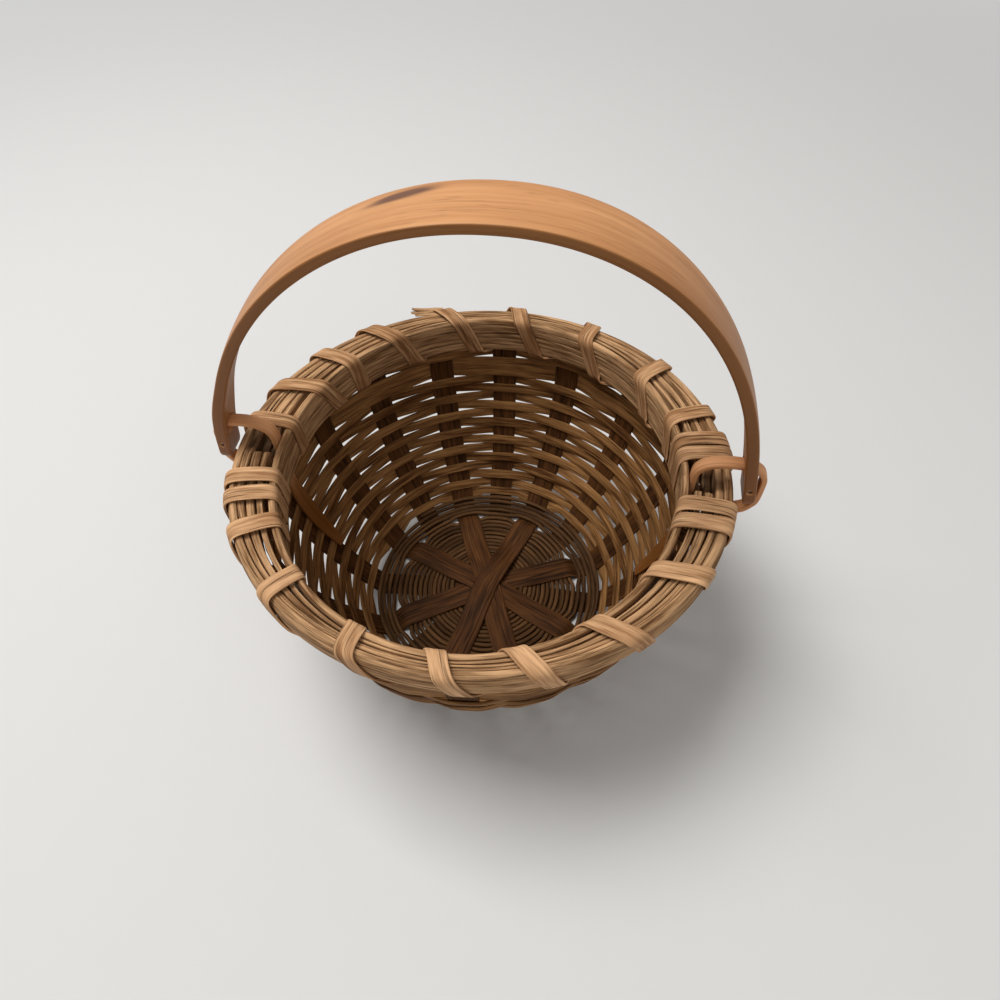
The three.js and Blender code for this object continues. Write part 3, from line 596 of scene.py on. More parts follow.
def make_weavers(body, colours):
    """Sixteen rows: each a closed splint that lies inside one stake and outside the next.

    Past a stake it soon comes back to the wall's middle, where the rows lie edge to edge.
    """
    size = body.size
    _, _, stakes = arm_angles()
    widths = [size.base_row_width] + [size.weaver_width] * 13 + [size.wide_row_width, size.weaver_width]
    starts = size.first_row_start + np.append(0, np.cumsum(np.array(widths) + size.row_spacing))
    finish = splint_wood("weaver", colours, 0.9, 0.64)
    flat = sideways(stakes) * (size.spoke_width / 2 + PAST_STAKE)
    for index, width in enumerate(widths):
        row = index + 1
        r, z, rise, run = body.wall(starts[index] + width / 2)
        side = np.where((row + np.arange(16)) % 2 == 0, -1.0, 1.0)[:, None]
        offset = side * body.weave_offset
        level = outward(stakes) * r + UP * z
        normal = outward(stakes) * rise - UP * run
        start, end = level + flat, np.roll(level - flat, -1, 0)
        past = [between(start, end, t) + between(normal, np.roll(normal, -1, 0), t) * offset * lie
                for t, lie in BETWEEN_STAKES]
        place = np.stack([level - flat + normal * offset, start + normal * offset, *past], 1).reshape(-1, 3)
        across = np.repeat(outward(stakes) * run + UP * rise, 4, 0)
        outside = (side * [1, 1, 0.3, -0.3]).reshape(-1, 1)
        rows = soften(np.hstack([place, across, outside]), *WEAVER_LINE, True)
        share, middle, up, out = swept(rows, True)
        middle = middle + up * (WEAVER_WANDER * ripple(share, 200 + row, (3, 7, 8, 16)))[:, None]
        half = width / 2 * (WEAVER_FULLNESS + 0.06 * ripple(share, 230 + row, (5, 8, 13, 21)))
        if row == 1:
            lower = LOWEST_ROW_REACH * kept(0.3 + rows[:, 6])
            middle, half = middle - up * lower[:, None], half + lower
        roll = WEAVER_ROLL * ripple(share, 245 + row, (6, 11, 17))
        roof = flat_roof(WEAVER_ROOF, 0.5 * ripple(share, 290 + row, (4, 9, 15)), np.sign(FLAT[:, 1]))
        u = FLAT[:, 0] * half[:, None]
        v = FLAT[:, 1] * size.weaver_thickness / 2 + FLAT[:, 0] * roll[:, None] + roof
        own = np.random.default_rng(row + 40).uniform(-1, 1)
        tone = 0.6 * own + 0.4 * ripple(share, 260 + row, (1, 2, 4, 9))
        wide = width == size.wide_row_width
        piece = skin("wide_weaver_splint" if wide else f"weaver_splint_{row:02d}",
                     rings_of(middle, up, out, u, v), True, 2.3 * row, {"age": 0.5, "tone": tone})
        settle(piece, "basket", "weaver_splint", finish, "wide_weaver" if wide else f"weaver_{row:02d}")


# The rim

# Room between the back of the inner hoop and the fillers outside the stakes, extra room beside an
# ear's inner leg, and room between the outer filler and the outer hoop at the ears
OVER_STAKES, LEG_ROOM, OUTER_FILLER_ROOM = 0.0004, 0.0003, 0.0016
# Half axes of the inner and middle filler at the ears, and what the middle one is taller than the outer
INNER_FILLER_REACH, MIDDLE_FILLER_REACH, MIDDLE_TALLER = 0.10005, 0.1045, 0.004


class Rim:
    """Half axes of the rim's ovals at the ears and at front and back, and its levels."""

    def __init__(self, size, rim):
        self.size = rim
        self.top = size.rim_top
        face = size.mouth_radius - size.spoke_thickness / 2
        half_inner, half_outer = rim.inner_thickness / 2, rim.outer_thickness / 2
        self.inner = np.array([rim.inner_mouth + half_inner, face - size.lay_gap - half_inner])
        back = self.inner[1] + half_inner
        over = back + OVER_STAKES
        thin, room = rim.filler_thickness, size.lay_gap + rim.filler_thickness
        self.outer = np.array([rim.outer_reach - rim.outer_ear_thickness / 2,
                               over + 3 * room + size.lay_gap + half_outer])
        self.ear_inner_leg = self.inner[0] + half_inner + size.lay_gap + rim.ear_thickness / 2 + LEG_ROOM
        # each filler: half axes of its middle line, its thickness at the ears, and its height
        outer_filler = rim.outer_reach - rim.outer_ear_thickness - size.lay_gap - OUTER_FILLER_ROOM
        self.fillers = {
            "inner": ((INNER_FILLER_REACH, back + room - thin / 2), 0.0027, rim.filler_height),
            "middle": ((MIDDLE_FILLER_REACH, over + 2 * room - thin / 2), 0.0040,
                       rim.filler_skirt + MIDDLE_TALLER),
            "outer": ((outer_filler, over + 3 * room - thin / 2), 0.0031, rim.filler_skirt),
        }
        reach = rim.lashing_gap + rim.lashing_thickness / 2
        self.lash_in = self.inner - half_inner - reach
        self.lash_out = np.array([rim.outer_reach + reach, self.outer[1] + half_outer + reach])
        self.lash_top = self.top + reach
        self.lash_low = self.top - rim.inner_height - reach


def oval(axes, angle):
    """Places on an oval with these half axes, and its outward directions."""
    a = np.radians(angle)
    axes = np.broadcast_to(axes, a.shape + (2,))
    c, s, zero = np.cos(a), np.sin(a), np.zeros_like(a)
    place = np.stack([axes[..., 0] * c, axes[..., 1] * s, zero], -1)
    return place, unit(np.stack([axes[..., 1] * c, axes[..., 0] * s, zero], -1))


# Power of the sine and cosine in the outer hoop's round face and in an ear's arch
ROUNDING = 2 / 2.4
# Depth of the splits in the outer hoop, the inner hoop and the fillers
OUTER_GROOVE, INNER_GROOVE, FILLER_GROOVE = 0.0009, 0.0008, 0.0006
# Height of the crown on the inner hoop's inside face, and radius of its top
INNER_CROWN, INNER_ROUND = 0.00022, 0.0016
# The fillers' top below the hoops', their thickness over that of the solids, and their wander and sway
FILLER_SUNK, FILLER_FULLER, FILLER_WANDER, FILLER_SWAY = 0.0006, 0.00016, 0.0005, 0.00012
# Shares of the way round at which the hoops and fillers have a ring, and how near each is to an ear
ROUND = np.arange(720) / 720
AT_EARS = np.cos(2 * np.pi * ROUND)[:, None] ** 2


def splits(height, seed, strands, width):
    """Splits along a hoop: between its strands a bell across it wanders up and down and opens and shuts."""
    depth = np.zeros(height.shape)
    for n in range(1, strands):
        middle = -1 + 2 * n / strands + 0.16 * ripple(ROUND, seed + n, (2, 3, 5, 7))
        opened = kept(0.42 + 0.9 * ripple(ROUND, seed + 40 + n, (3, 5, 8, 13)))
        bell = np.exp(-(((height - middle[:, None]) / width) ** 2))
        depth = np.maximum(depth, opened[:, None] * bell)
    return depth


def add_hoop(name, node, finish, axes, level, u, v, shift, marks):
    """A closed band: a section, u up and v out, carried round an oval of the rim at a level."""
    place, out = oval(np.array(axes), 360 * ROUND)
    up = np.broadcast_to(UP, out.shape)
    piece = skin(name, rings_of(place + level, up, out, u, v), True, shift, marks)
    settle(piece, "basket", "rim_wood", finish, node)


def make_outer_hoop(rim, finish):
    """The outer hoop: half round outside and flat inside, with long splits in its round face.

    The round is a sine and a cosine to a power. Its thickness is front + (ear - front) cos^2 of the angle.
    """
    size = rim.size
    turn_up = np.linspace(-np.pi / 2, np.pi / 2, 70)
    back = 12
    height = np.append(np.sign(np.sin(turn_up)) * np.abs(np.sin(turn_up)) ** ROUNDING,
                       np.linspace(0.93, -0.93, back))
    bulge = np.append(-0.8 + 1.8 * np.cos(turn_up) ** ROUNDING, np.full(back, -1.0))
    outside = np.append(kept(np.cos(turn_up) * 3), np.zeros(back))
    grooves = splits(np.broadcast_to(height, (len(ROUND), len(height))), 300, 7, 0.032) * outside
    swell = 1 + 0.10 * ripple(ROUND, 310, (4, 7, 11))[:, None]
    thick = between(size.outer_thickness, size.outer_ear_thickness, AT_EARS)
    u = height * size.outer_height / 2 * (1 + 0.022 * ripple(ROUND, 320, (3, 5, 9)))[:, None]
    v = np.where(bulge > 0, bulge * swell, bulge) * thick / 2 - OUTER_GROOVE * grooves
    tone = 0.35 * ripple(ROUND, 330, (3, 8, 13))
    add_hoop("outer_hoop_band", "outer_rim_hoop", finish, rim.outer, UP * (rim.top - size.outer_height / 2),
             u, v, 0.0, {"age": 0.0, "tone": tone, "split": grooves})


def make_inner_hoop(rim, finish):
    """The inner hoop: a flat band, round at the top, whose crowned inside face has cracked into strands."""
    size = rim.size
    half, thick = size.inner_height / 2, size.inner_thickness / 2
    edge = 0.0006
    # the outline in turn: inside face, round top, flat back and foot
    face = np.linspace(-half + edge, half - INNER_ROUND, 58)
    turn_in = np.linspace(0, np.pi / 2, 6)[1:]
    height = np.concatenate([face, half - INNER_ROUND + INNER_ROUND * np.sin(turn_in), [half - 0.0002],
                             np.linspace(half - 0.0008, -half + edge, 12), [-half, -half]])
    bulge = np.concatenate([np.full(58, -thick), -thick + INNER_ROUND * (1 - np.cos(turn_in)),
                            [thick - 0.0004], np.full(12, thick), [thick - edge, -thick + edge]])
    inside = np.append(kept(3 - 3.2 * np.abs(face / half)), np.zeros(len(height) - len(face)))
    grooves = splits(np.broadcast_to(height / half, (len(ROUND), len(height))), 350, 7, 0.026) * inside
    crown = INNER_CROWN * (1 - kept(np.abs(height / half)) ** 2)
    u = height * (1 + 0.014 * ripple(ROUND, 360, (3, 5, 9)))[:, None]
    v = bulge - crown * (bulge < 0) + INNER_GROOVE * grooves
    tone = 0.35 * ripple(ROUND, 370, (3, 8, 13))
    add_hoop("inner_hoop_band", "inner_rim_hoop", finish, rim.inner, UP * (rim.top - half),
             u, v, 5.0, {"age": 0.25, "tone": tone, "split": grooves})


# Each filler: height added at the ears, dip of its top under an ear's arch, strength of the painted
# shade in that dip, and lean outward at the ears
FILLER_TOPS = {
    "inner": (0.0064, 0.0066, 1.0, 0.0),
    "middle": (0.0, 0.0066, 1.0, 0.0018),
    "outer": (0.0, 0.0016, 0.6, 0.0),
}


def make_fillers(rim, finish):
    """Three fillers between the hoops: boards whose top edges wander, dip under the ears, where shade is
    painted, and have cracks.

    The dip at d degrees from an ear is deepest times exp(-(d / 3.6)^6).
    """
    from_ear = np.abs((360 * ROUND + 90) % 180 - 90)
    hole = np.exp(-((from_ear / 3.6) ** 6))
    for n, (side, (axes, ear, height)) in enumerate(rim.fillers.items()):
        added, deepest, dark, lean = FILLER_TOPS[side]
        dip = deepest * hole
        tall = height + added * kept((AT_EARS[:, 0] - 0.65) / 0.25) - dip
        thick = between(rim.size.filler_thickness, ear, AT_EARS[:, 0]) + FILLER_FULLER
        u, v = planed(tall / 2, thick / 2, 0.32 * thick, 4, 3, 4)
        cracks = splits(v / thick[:, None] * 2, 395 + 5 * n, 3, 0.16) * (u > 0.4 * tall[:, None]) * AT_EARS
        top = rim.top - FILLER_SUNK - dip + FILLER_WANDER * ripple(ROUND, 380 + n, (4, 7, 12))
        sway = FILLER_SWAY * ripple(ROUND, 390 + n, (5, 9, 14))[:, None]
        # This mark holds the cracks and, in the dips under the ears, painted shade
        add_hoop(f"{side}_filler_splint", f"{side}_rim_filler", finish, axes, UP * (top - tall / 2)[:, None],
                 u - FILLER_GROOVE * cracks, v + sway + lean * AT_EARS * (0.5 - u / tall[:, None]), 8.0 + n,
                 {"age": 0.1, "tone": 0.4 * ripple(ROUND, 400 + n, (3, 8, 13)),
                  "split": np.maximum(cracks, dark * hole[:, None])})


# The frayed end's three strands: lane from inside to outside, angle of the tip, and its lift
STRANDS = ((-1, 116.2, 0.0014), (0, 117.1, 0.0018), (1, 116.6, 0.0026))
FRAY_START = 108.2
# How far the strands lie over the outer hoop's middle, at first and more at the tip, and above its top
FRAY_OUT, FRAY_OUTER, FRAY_GAP = 0.0006, 0.0018, 0.0003
# Distance between two strands, what it gains at the tip, their sideways wander, half width and half
# thickness, and the slant of the three
FRAY_LANE, FRAY_SPREAD, FRAY_WANDER, FRAY_HALF, FRAY_THIN = 0.0013, 0.0005, 0.0002, 0.00098, 0.0003
FRAY_SLANT = 0.35


def make_frayed_end(rim, finish):
    """A splint's frayed end over the outer hoop at the back, held by the lashing.

    It is three flat strands side by side, which spread, lift with the cube of the way and taper to the tip.
    """
    share = np.linspace(0, 1, 48)
    for n, (lane, last, lift) in enumerate(STRANDS):
        axes = rim.outer + FRAY_OUT + FRAY_OUTER * share[:, None] ** 0.6
        place, out = oval(axes, between(FRAY_START, last, share))
        across, facing = unit(out + FRAY_SLANT * UP), unit(UP - FRAY_SLANT * out)
        drift = lane * (FRAY_LANE + FRAY_SPREAD * share ** 6) + FRAY_WANDER * ripple(share / 2, 412 + n)
        middle = place + UP * (rim.top + FRAY_GAP) + facing * (lift * share ** 3)[:, None]
        middle = middle + across * drift[:, None]
        half = FRAY_HALF * (1 - 0.45 * share ** 14)
        rings = rings_of(middle, across, facing, FLAT[:, 0] * half[:, None], FLAT[:, 1] * FRAY_THIN)
        piece = skin(f"outer_filler_end_{n + 1}", rings, False, 14.0 + n,
                     {"age": 0.2, "tone": 0.3 * lane, "split": 0.0})
        settle(piece, "basket", "rim_wood", finish)


def make_hoops(body, rim_size, colours):
    """Two hoops, the three fillers between them and a filler's frayed end, all of one wood."""
    rim = Rim(body.size, rim_size)
    finish = splint_wood("hoop", colours, 1.15, 0.66)
    for make in (make_outer_hoop, make_inner_hoop, make_fillers, make_frayed_end):
        make(rim, finish)


# One turn of the lashing: share of the advance to the next pass, share of the way from the inner
# to the outer ring, height share between the lowest and the top, and push outward in metres
WRAP = np.array([
    (0.05, 0.10, 0.0, 0.0), (0.09, 0.0, 0.03, 0.0), (0.15, 0.0, 0.26, 0.0), (0.22, 0.0, 0.54, 0.0),
    (0.30, 0.0, 0.84, 0.0), (0.335, 0.03, 0.96, 0.0), (0.37, 0.17, 1.025, 0.0), (0.415, 0.5, 1.045, 0.0),
    (0.46, 0.83, 1.025, 0.0), (0.49, 0.97, 0.95, 0.0), (0.52, 1.0, 0.86, 0.0001), (0.565, 1.0, 0.68, 0.0002),
    (0.625, 0.99, 0.46, 0.0), (0.67, 0.93, 0.31, 0.0), (0.70, 0.84, 0.22, 0.0), (0.74, 0.7, 0.12, 0.0),
    (0.94, 0.38, 0.0, 0.0),
])
# Each lashing: angle of the ear where it starts, seed, how much darker it is made, and where it passes
# through the wall, as shares of each gap between two stakes
LASHINGS = {
    "back": (0, 500, 1.8, ((0.17, 0.5, 0.83), *[(0.27,)] * 5, (0.2, 0.83), (0.75,))),
    "front": (180, 540, 0.0, ((0.17, 0.5, 0.83), *[(0.27,)] * 6, (0.25, 0.75))),
}
# In degrees: room beside a stake or an ear, advance of the last turn, and how far past the ears a
# stake still counts. In metres: more room beside an ear
PASS_ROOM, LAST_ADVANCE, STAKE_SEARCH, EAR_ROOM = 0.5, 1.8, 12, 0.001
# Its width over that of the solids
LASHING_FULLNESS = 1.08
# Heights of the lashing's narrow and broad ribs, and of the curl at its edges
RIB, BROAD_RIB, CURL = 0.00013, 0.00015, 0.0003
# Painted highlight: how much lighter a rib is for each metre of its height
RIB_HIGHLIGHT = 2500


def lashing_passes(body, rim_size, start, gap_shares):
    """Angles at which a lashing goes through the wall, at these shares of the gap after each stake."""
    size = body.size
    _, _, stakes = arm_angles()
    stakes = np.concatenate([stakes - 360, stakes, stakes + 360])
    stakes = stakes[(stakes > start - STAKE_SEARCH) & (stakes < start + 180 + STAKE_SEARCH)]
    stake_half = math.degrees(size.spoke_width / 2 / size.mouth_radius)
    ear_half = math.degrees((rim_size.ear_width / 2 + EAR_ROOM) / size.mouth_radius)
    low = np.maximum(stakes[:-1] + stake_half, start + ear_half) + PASS_ROOM
    high = np.minimum(stakes[1:] - stake_half, start + 180 - ear_half) - PASS_ROOM
    return np.concatenate([between(a, b, np.array(shares)) for a, b, shares in zip(low, high, gap_shares)])


def make_lashings(body, rim_size, colours):
    """Two lashings: a flat ribbed section along a line that turns round both hoops and steps on under them.

    The section stands square to the line. Its outer face is t / 2 + ribs + curl: cosine ribs across the
    strip, and edges that stand off with the fifth power of the distance from its middle.
    """
    rim = Rim(body.size, rim_size)
    finish = splint_wood("lashing", colours, 0.95, 0.6)
    line = np.linspace(-1, 1, 41)
    for side, (start, seed, age, gap_shares) in LASHINGS.items():
        passes = lashing_passes(body, rim_size, start, gap_shares)
        after = np.append(passes[1:], passes[-1] + LAST_ADVANCE)
        angle = between(passes[:, None], after[:, None], WRAP[:, 0]).ravel()
        blend, rise, push = np.tile(WRAP[:, 1:], (len(passes), 1)).T
        inner, _ = oval(rim.lash_in, angle)
        outer, out = oval(rim.lash_out, angle)
        place = between(inner, outer, blend[:, None]) + out * push[:, None]
        place[:, 2] = between(rim.lash_low, rim.lash_top, rise)
        rows = soften(np.hstack([place, np.cross(UP, out)]), *LASHING_LINE, False)
        share, middle, across, facing = swept(rows, False)
        fullness = LASHING_FULLNESS + 0.08 * ripple(share, seed, (9, 17, 31))
        half = rim_size.lashing_width / 2 * fullness[:, None]
        phase = 2.2 * ripple(share, seed + 1, (11, 19, 37))[:, None]
        ribs = RIB * np.cos(line * 20 + phase) + BROAD_RIB * np.cos(line * 8 - phase)
        curl = CURL * np.abs(line) ** 5 * (0.5 + 0.8 * ripple(share, seed + 2, (13, 23, 41)))[:, None]
        edge = rim_size.lashing_thickness / 2 * (1 - 0.5 * np.abs(line) ** 8)
        u = np.hstack([line * half, line[::-1] * half])
        v = np.hstack([edge + ribs + curl, (-edge + 0.6 * curl)[:, ::-1]])
        # Painted highlight: the raised ribs on the outer face are made lighter by their height
        tone = 0.45 * ripple(share, seed + 3, (5, 9, 15))[:, None] + RIB_HIGHLIGHT * np.hstack([ribs, 0 * ribs])
        piece = skin(f"{side}_lashing_splint", rings_of(middle, across, facing, u, v), False, seed / 40,
                     {"age": age, "tone": tone, "split": 0.0})
        settle(piece, "basket", "lashing_splint", finish, f"{side}_rim_lashing")


# The ears and the bow

# Room between an ear's tails and the weavers, and how much wider the inside tail is halfway
TAIL_ROOM, LEAF = 0.00025, 0.0019
# How far below the hoops the inside and the outside tail begin
INNER_TAIL_DROP, OUTER_TAIL_DROP = 0.006, 0.0175
# The side of each ear, and the share of its play that it leaves at the handle's leg
EARS = {"left": (-1, 0.45), "right": (1, 1.0)}


def ear_path(body, rim_size, handle, play):
    """One ear in its own plane, as x, z and share of full section: inside tail, arch, outside tail.

    The arch over the rim is half an oval whose cosine and sine are taken to a power.
    """
    size = body.size
    rim = Rim(size, rim_size)
    clear = body.weave_offset + size.weaver_thickness / 2 + size.lay_gap + TAIL_ROOM
    inner_leg = rim.ear_inner_leg
    outer_leg = handle.half_span + handle.leg_thickness / 2 + play + rim_size.ear_thickness / 2

    def tail(heights, side, share):
        """A tail that lies against the weavers on one side of the wall."""
        r, z, rise, run = body.wall_at(heights)
        off = side * (clear + between(rim_size.ear_tail_thickness, rim_size.ear_thickness, share) / 2)
        return np.stack([r + off * rise, z - off * run, share], 1)

    low, under = rim.top - rim_size.inner_height, rim.top - rim_size.outer_height
    grow, shrink = np.linspace(0, 1, 8), np.linspace(1, 0, 5)
    angle = np.linspace(np.pi, 0, 41)
    c = np.cos(angle)
    middle, half = (inner_leg + outer_leg) / 2, (outer_leg - inner_leg) / 2
    arch = np.stack([
        middle + half * np.sign(c) * np.abs(c) ** ROUNDING,
        rim.top + between(rim_size.ear_spring, rim_size.ear_crown, np.abs(np.sin(angle)) ** ROUNDING),
        np.ones(41)], 1)
    # the outside leg bends in below the outer hoop and then follows the wall
    return np.vstack([
        tail(between(rim_size.ear_inner_end, low - INNER_TAIL_DROP, grow), -1, grow),
        (inner_leg, low + 0.002, 1), (inner_leg, rim.top - 0.004, 1), arch,
        (outer_leg, rim.top - 0.0065, 1), (outer_leg - 0.0003, rim.top - 0.012, 1),
        (outer_leg - 0.0042, rim.top - 0.018, 0.95), (rim_size.outer_reach - 0.0015, under - 0.0056, 0.9),
        (size.mouth_radius + 0.0074, under - 0.0104, 0.8),
        tail(between(rim_size.ear_outer_end, under - OUTER_TAIL_DROP, shrink), 1, 0.7 * shrink)])


def make_ears(body, rim_size, handle, colours):
    """Two ears: a board's section with soft corners, slimmer in the tails, along each ear's line.

    The inside tail is widest halfway, like a leaf, by 4 s (1 - s) with s the share of full section.
    """
    finish = bent_wood("Ear wood", colours.ear_light, colours.ear_dark, colours.bow_edge_and_shade, colours.stain, 0.5)
    for name, (side, snug) in EARS.items():
        x, z, full = ear_path(body, rim_size, handle, rim_size.ear_play * snug).T
        none = 0 * x
        rows = soften(np.stack([side * x, none, z, none, none + 1, none, full], 1), *EAR_LINE, False)
        run, middle, across, out = swept(rows, False)
        share = kept(rows[:, 6])
        leaf = 4 * share * (1 - share) * (run < 0.5)
        half_w = between(rim_size.ear_tail_width, rim_size.ear_width, share) / 2
        half_w = half_w * (1 + 0.025 * ripple(run, 600 + side, (3, 5, 8))) + LEAF * leaf
        half_t = between(rim_size.ear_tail_thickness, rim_size.ear_thickness, share) / 2
        u, v = planed(half_w, half_t, 0.62 * half_t, 5, 7, 2)
        crown = 0.14 * (1 - (u / half_w[:, None]) ** 2) * half_t[:, None] * np.sign(v)
        # Painted shade: the tails are darkened, most of all halfway along the inside tail
        piece = skin(f"{name}_ear_bentwood", rings_of(middle, across, out, u, v + crown), False,
                     10.0 + side, {"stain": 0.0, "age": 1.9 * (1 - share) + 1.7 * leaf})
        settle(piece, "basket", "ear_wood", finish, f"{name}_ear")


# Power of the bow's curve: 2 would be an oval, and more is squarer
BOW_SQUARENESS = 2.1
# Middle and spread along X of the stain on the bow's top, on the outside above this height
STAIN_X, STAIN_SPREAD, STAIN_ABOVE = -0.021, 0.013, 0.2
# Height above the hole over which the left leg's twist starts, and the height in which it is full
TWIST_START, TWIST_GROWTH = 0.007, 0.025
# The bow's thickness over that of the solids, and the radius of its corners
BOW_FULLNESS, BOW_CORNER = 1.06, 0.0007
# Room round a peg and past its ends, and the dome of an end as a share of its radius
PEG_ROOM, PEG_INSET, PEG_DOME = 0.0003, 0.0004, 0.4
# How far the tools for the two kinds of hole reach both ways from the middle of a leg
HOLE_REACH, PEG_HOLE_REACH = 0.015, 0.01
# A direction that no rod has
ASIDE = (0.31, 0.27, 0.91)


def bow_reach(handle, height):
    """Half width of the bow at a height: W (1 - s^n)^(1/n), with s the share of the way up to the apex."""
    share = (np.array([handle.pivot, height]) - handle.centre) / (handle.apex - handle.centre)
    pivot, wanted = (1 - share ** BOW_SQUARENESS) ** (1 / BOW_SQUARENESS)
    return handle.half_span * wanted / pivot


def bow_path(handle, count=120):
    """Middle line of the bow: half a squared oval cut off at the leg ends, leaning right at the top."""
    power = 2 / BOW_SQUARENESS
    lowest = math.asin(((handle.end - handle.centre) / (handle.apex - handle.centre)) ** (1 / power))
    angle = np.linspace(lowest, np.pi / 2, count)
    z = between(handle.centre, handle.apex, np.sin(angle) ** power)
    x = bow_reach(handle, handle.centre) * kept(np.cos(angle)) ** power
    lean = handle.lean * (np.clip(z - handle.pivot, 0, None) / (handle.apex - handle.pivot)) ** 1.4
    left = np.stack([lean - x, 0 * x, z], 1)
    right = np.stack([lean + x, 0 * x, z], 1)
    return np.vstack([left, right[-2::-1]])


def drill(target, cutters):
    """Takes the cutters out of a piece for good and removes them."""
    for cutter in cutters:
        cut = target.modifiers.new("bore", "BOOLEAN")
        cut.operation, cut.solver, cut.object = "DIFFERENCE", "EXACT", cutter
    graph = bpy.context.evaluated_depsgraph_get()
    mesh = bpy.data.meshes.new_from_object(target.evaluated_get(graph), depsgraph=graph)
    target.modifiers.clear()
    target.data = mesh
    for cutter in cutters:
        bpy.data.objects.remove(cutter)


def rod(name, centre, axis, reach, radius, sides, dome=0.0):
    """A round bar that reaches as far both ways from its centre, its ends domed by a share of its radius."""
    along = np.array(axis, float)
    across = unit(np.cross(along, ASIDE))
    out = np.cross(across, along)
    turn_in = np.linspace(0, np.pi / 2, 6) if dome else np.array([np.pi / 2])
    size = radius * np.maximum(np.append(np.sin(turn_in), np.sin(turn_in)[::-1]), 0.08)[:, None]
    tip = reach + dome * radius * np.cos(turn_in)
    middle = np.array(centre, float) + along * np.append(-tip, tip[::-1])[:, None]
    u, v = bulged(sides, 2)
    rings = rings_of(middle, np.broadcast_to(across, middle.shape), np.broadcast_to(out, middle.shape),
                     u * size, v * size)
    return skin(name, rings, False, 0.0, {"stain": 0.0})


def make_bow(handle, colours):
    """The bow: a board's section along its line, wide and thin at the top, narrow and thick at the legs.

    Its outside face is crowned by a small share of the thickness, and its corners are just broken.
    """
    path = soften(bow_path(handle), *BOW_LINE, False)
    along = along_of(path, False)
    x, height = path[:, :1], path[:, 2]
    rise = kept((height - handle.end) / (handle.apex - handle.end))
    run = np.linspace(0, 1, len(path))
    grown = eased((height - handle.pivot - TWIST_START) / TWIST_GROWTH)
    twist = handle.twist * grown * (1 - rise) * (run < 0.5)
    side = np.array([0.0, 1.0, 0.0])
    across = np.cos(twist)[:, None] * side + np.sin(twist)[:, None] * np.cross(along, side)
    out = -np.cross(across, along)
    half_w = between(handle.leg_width, handle.top_width, rise ** 1.3) / 2
    half_t = between(handle.leg_thickness, handle.top_thickness, rise ** 1.3) / 2
    half_w = half_w * (1 + 0.012 * ripple(run, 700, (2, 3, 5)))
    half_t = half_t * (BOW_FULLNESS + 0.03 * ripple(run, 710, (3, 4, 7)))
    from_end = np.minimum(np.arange(len(path)), np.arange(len(path))[::-1])
    ease = 0.9 + 0.1 * np.sqrt(kept(from_end / 1.5))
    u, v = planed(half_w * ease, half_t * ease, BOW_CORNER)
    flat = u / half_w[:, None]
    v = v + np.where(v > 0, 0.16 * (1 - np.abs(flat) ** 2.4) - 0.04, 0.0) * half_t[:, None]
    spot = np.exp(-(((x - STAIN_X) / STAIN_SPREAD) ** 2)) * (height > STAIN_ABOVE)[:, None]
    blot = np.exp(-(((flat - 0.6 - 10 * (x - STAIN_X)) / 0.2) ** 2))
    # Mask of the narrow faces, which are darkened: painted shade, with some dirt
    narrow = kept((np.abs(flat) - 0.95) / 0.04)
    # Painted shade: the legs are darkened towards their ends by the last mark
    piece = skin("bow_bentwood", rings_of(path, across, out, u, v), False, 14.0,
                 {"stain": spot * blot * (v > 0), "edge": narrow, "age": 1 - rise})
    low = handle.pivot - handle.peg_drop
    reach = bow_reach(handle, low)
    holes = [rod("ear_bore", (s * handle.half_span, 0, handle.pivot), (s, 0, 0), HOLE_REACH, handle.hole, 40)
             for s in (-1, 1)]
    peg_hole = handle.peg_radius + PEG_ROOM
    holes += [rod("peg_bore", (s * reach, 0, low), (0, 1, 0), PEG_HOLE_REACH, peg_hole, 20)
              for s in (-1, 1)]
    drill(piece, holes)
    finish = bent_wood("Bow wood", colours.bow_light, colours.bow_dark, colours.bow_edge_and_shade, colours.stain, 0.45)
    settle(piece, "handle", "handle_wood", finish, "swing_handle")


def make_pegs(handle, colours):
    """Two pegs: short round bars with domed ends, across the legs below the holes."""
    finish = bent_wood("Peg wood", colours.spoke_dark, colours.split, colours.split, colours.split, 0.6)
    height = handle.pivot - handle.peg_drop
    reach = handle.leg_width / 2 - PEG_INSET
    for name, side in (("left", -1), ("right", 1)):
        centre = (side * bow_reach(handle, height), 0, height)
        peg = rod(f"{name}_peg_pin", centre, (0, 1, 0), reach, handle.peg_radius, 20, PEG_DOME)
        settle(peg, "handle", "peg_wood", finish, f"{name}_leg_peg")


# Finishes

def wired(operation, swapped=False):
    """A method of a wire that adds a Math node for it and another value, in this or the other order."""

    def method(wire, other):
        """The result of that node."""
        return wire.math(operation, *((other, wire) if swapped else (wire, other)))
    return method


class Wire:
    """A socket's value in a finish. An expression on it adds its Math nodes."""

    def __init__(self, finish, socket):
        self.finish, self.socket = finish, socket

    def math(self, operation, *values):
        """The result of a Math node on these values."""
        return self.finish.add("ShaderNodeMath", {"operation": operation}, dict(enumerate(values)), 0)

    __add__ = wired("ADD")
    __radd__ = wired("ADD", swapped=True)
    __sub__ = wired("SUBTRACT")
    __rsub__ = wired("SUBTRACT", swapped=True)
    __mul__ = wired("MULTIPLY")
    __rmul__ = wired("MULTIPLY", swapped=True)

    def kept(self):
        """The value kept from 0 to 1."""
        return self.math("MINIMUM", self.math("MAXIMUM", self, 0.0), 1.0)

    def between(self, low, high):
        """0 below low, 1 above high and smooth between them."""
        sockets = {"Value": self, "From Min": low, "From Max": high}
        return self.finish.add("ShaderNodeMapRange", {"interpolation_type": "SMOOTHSTEP"}, sockets, 0)


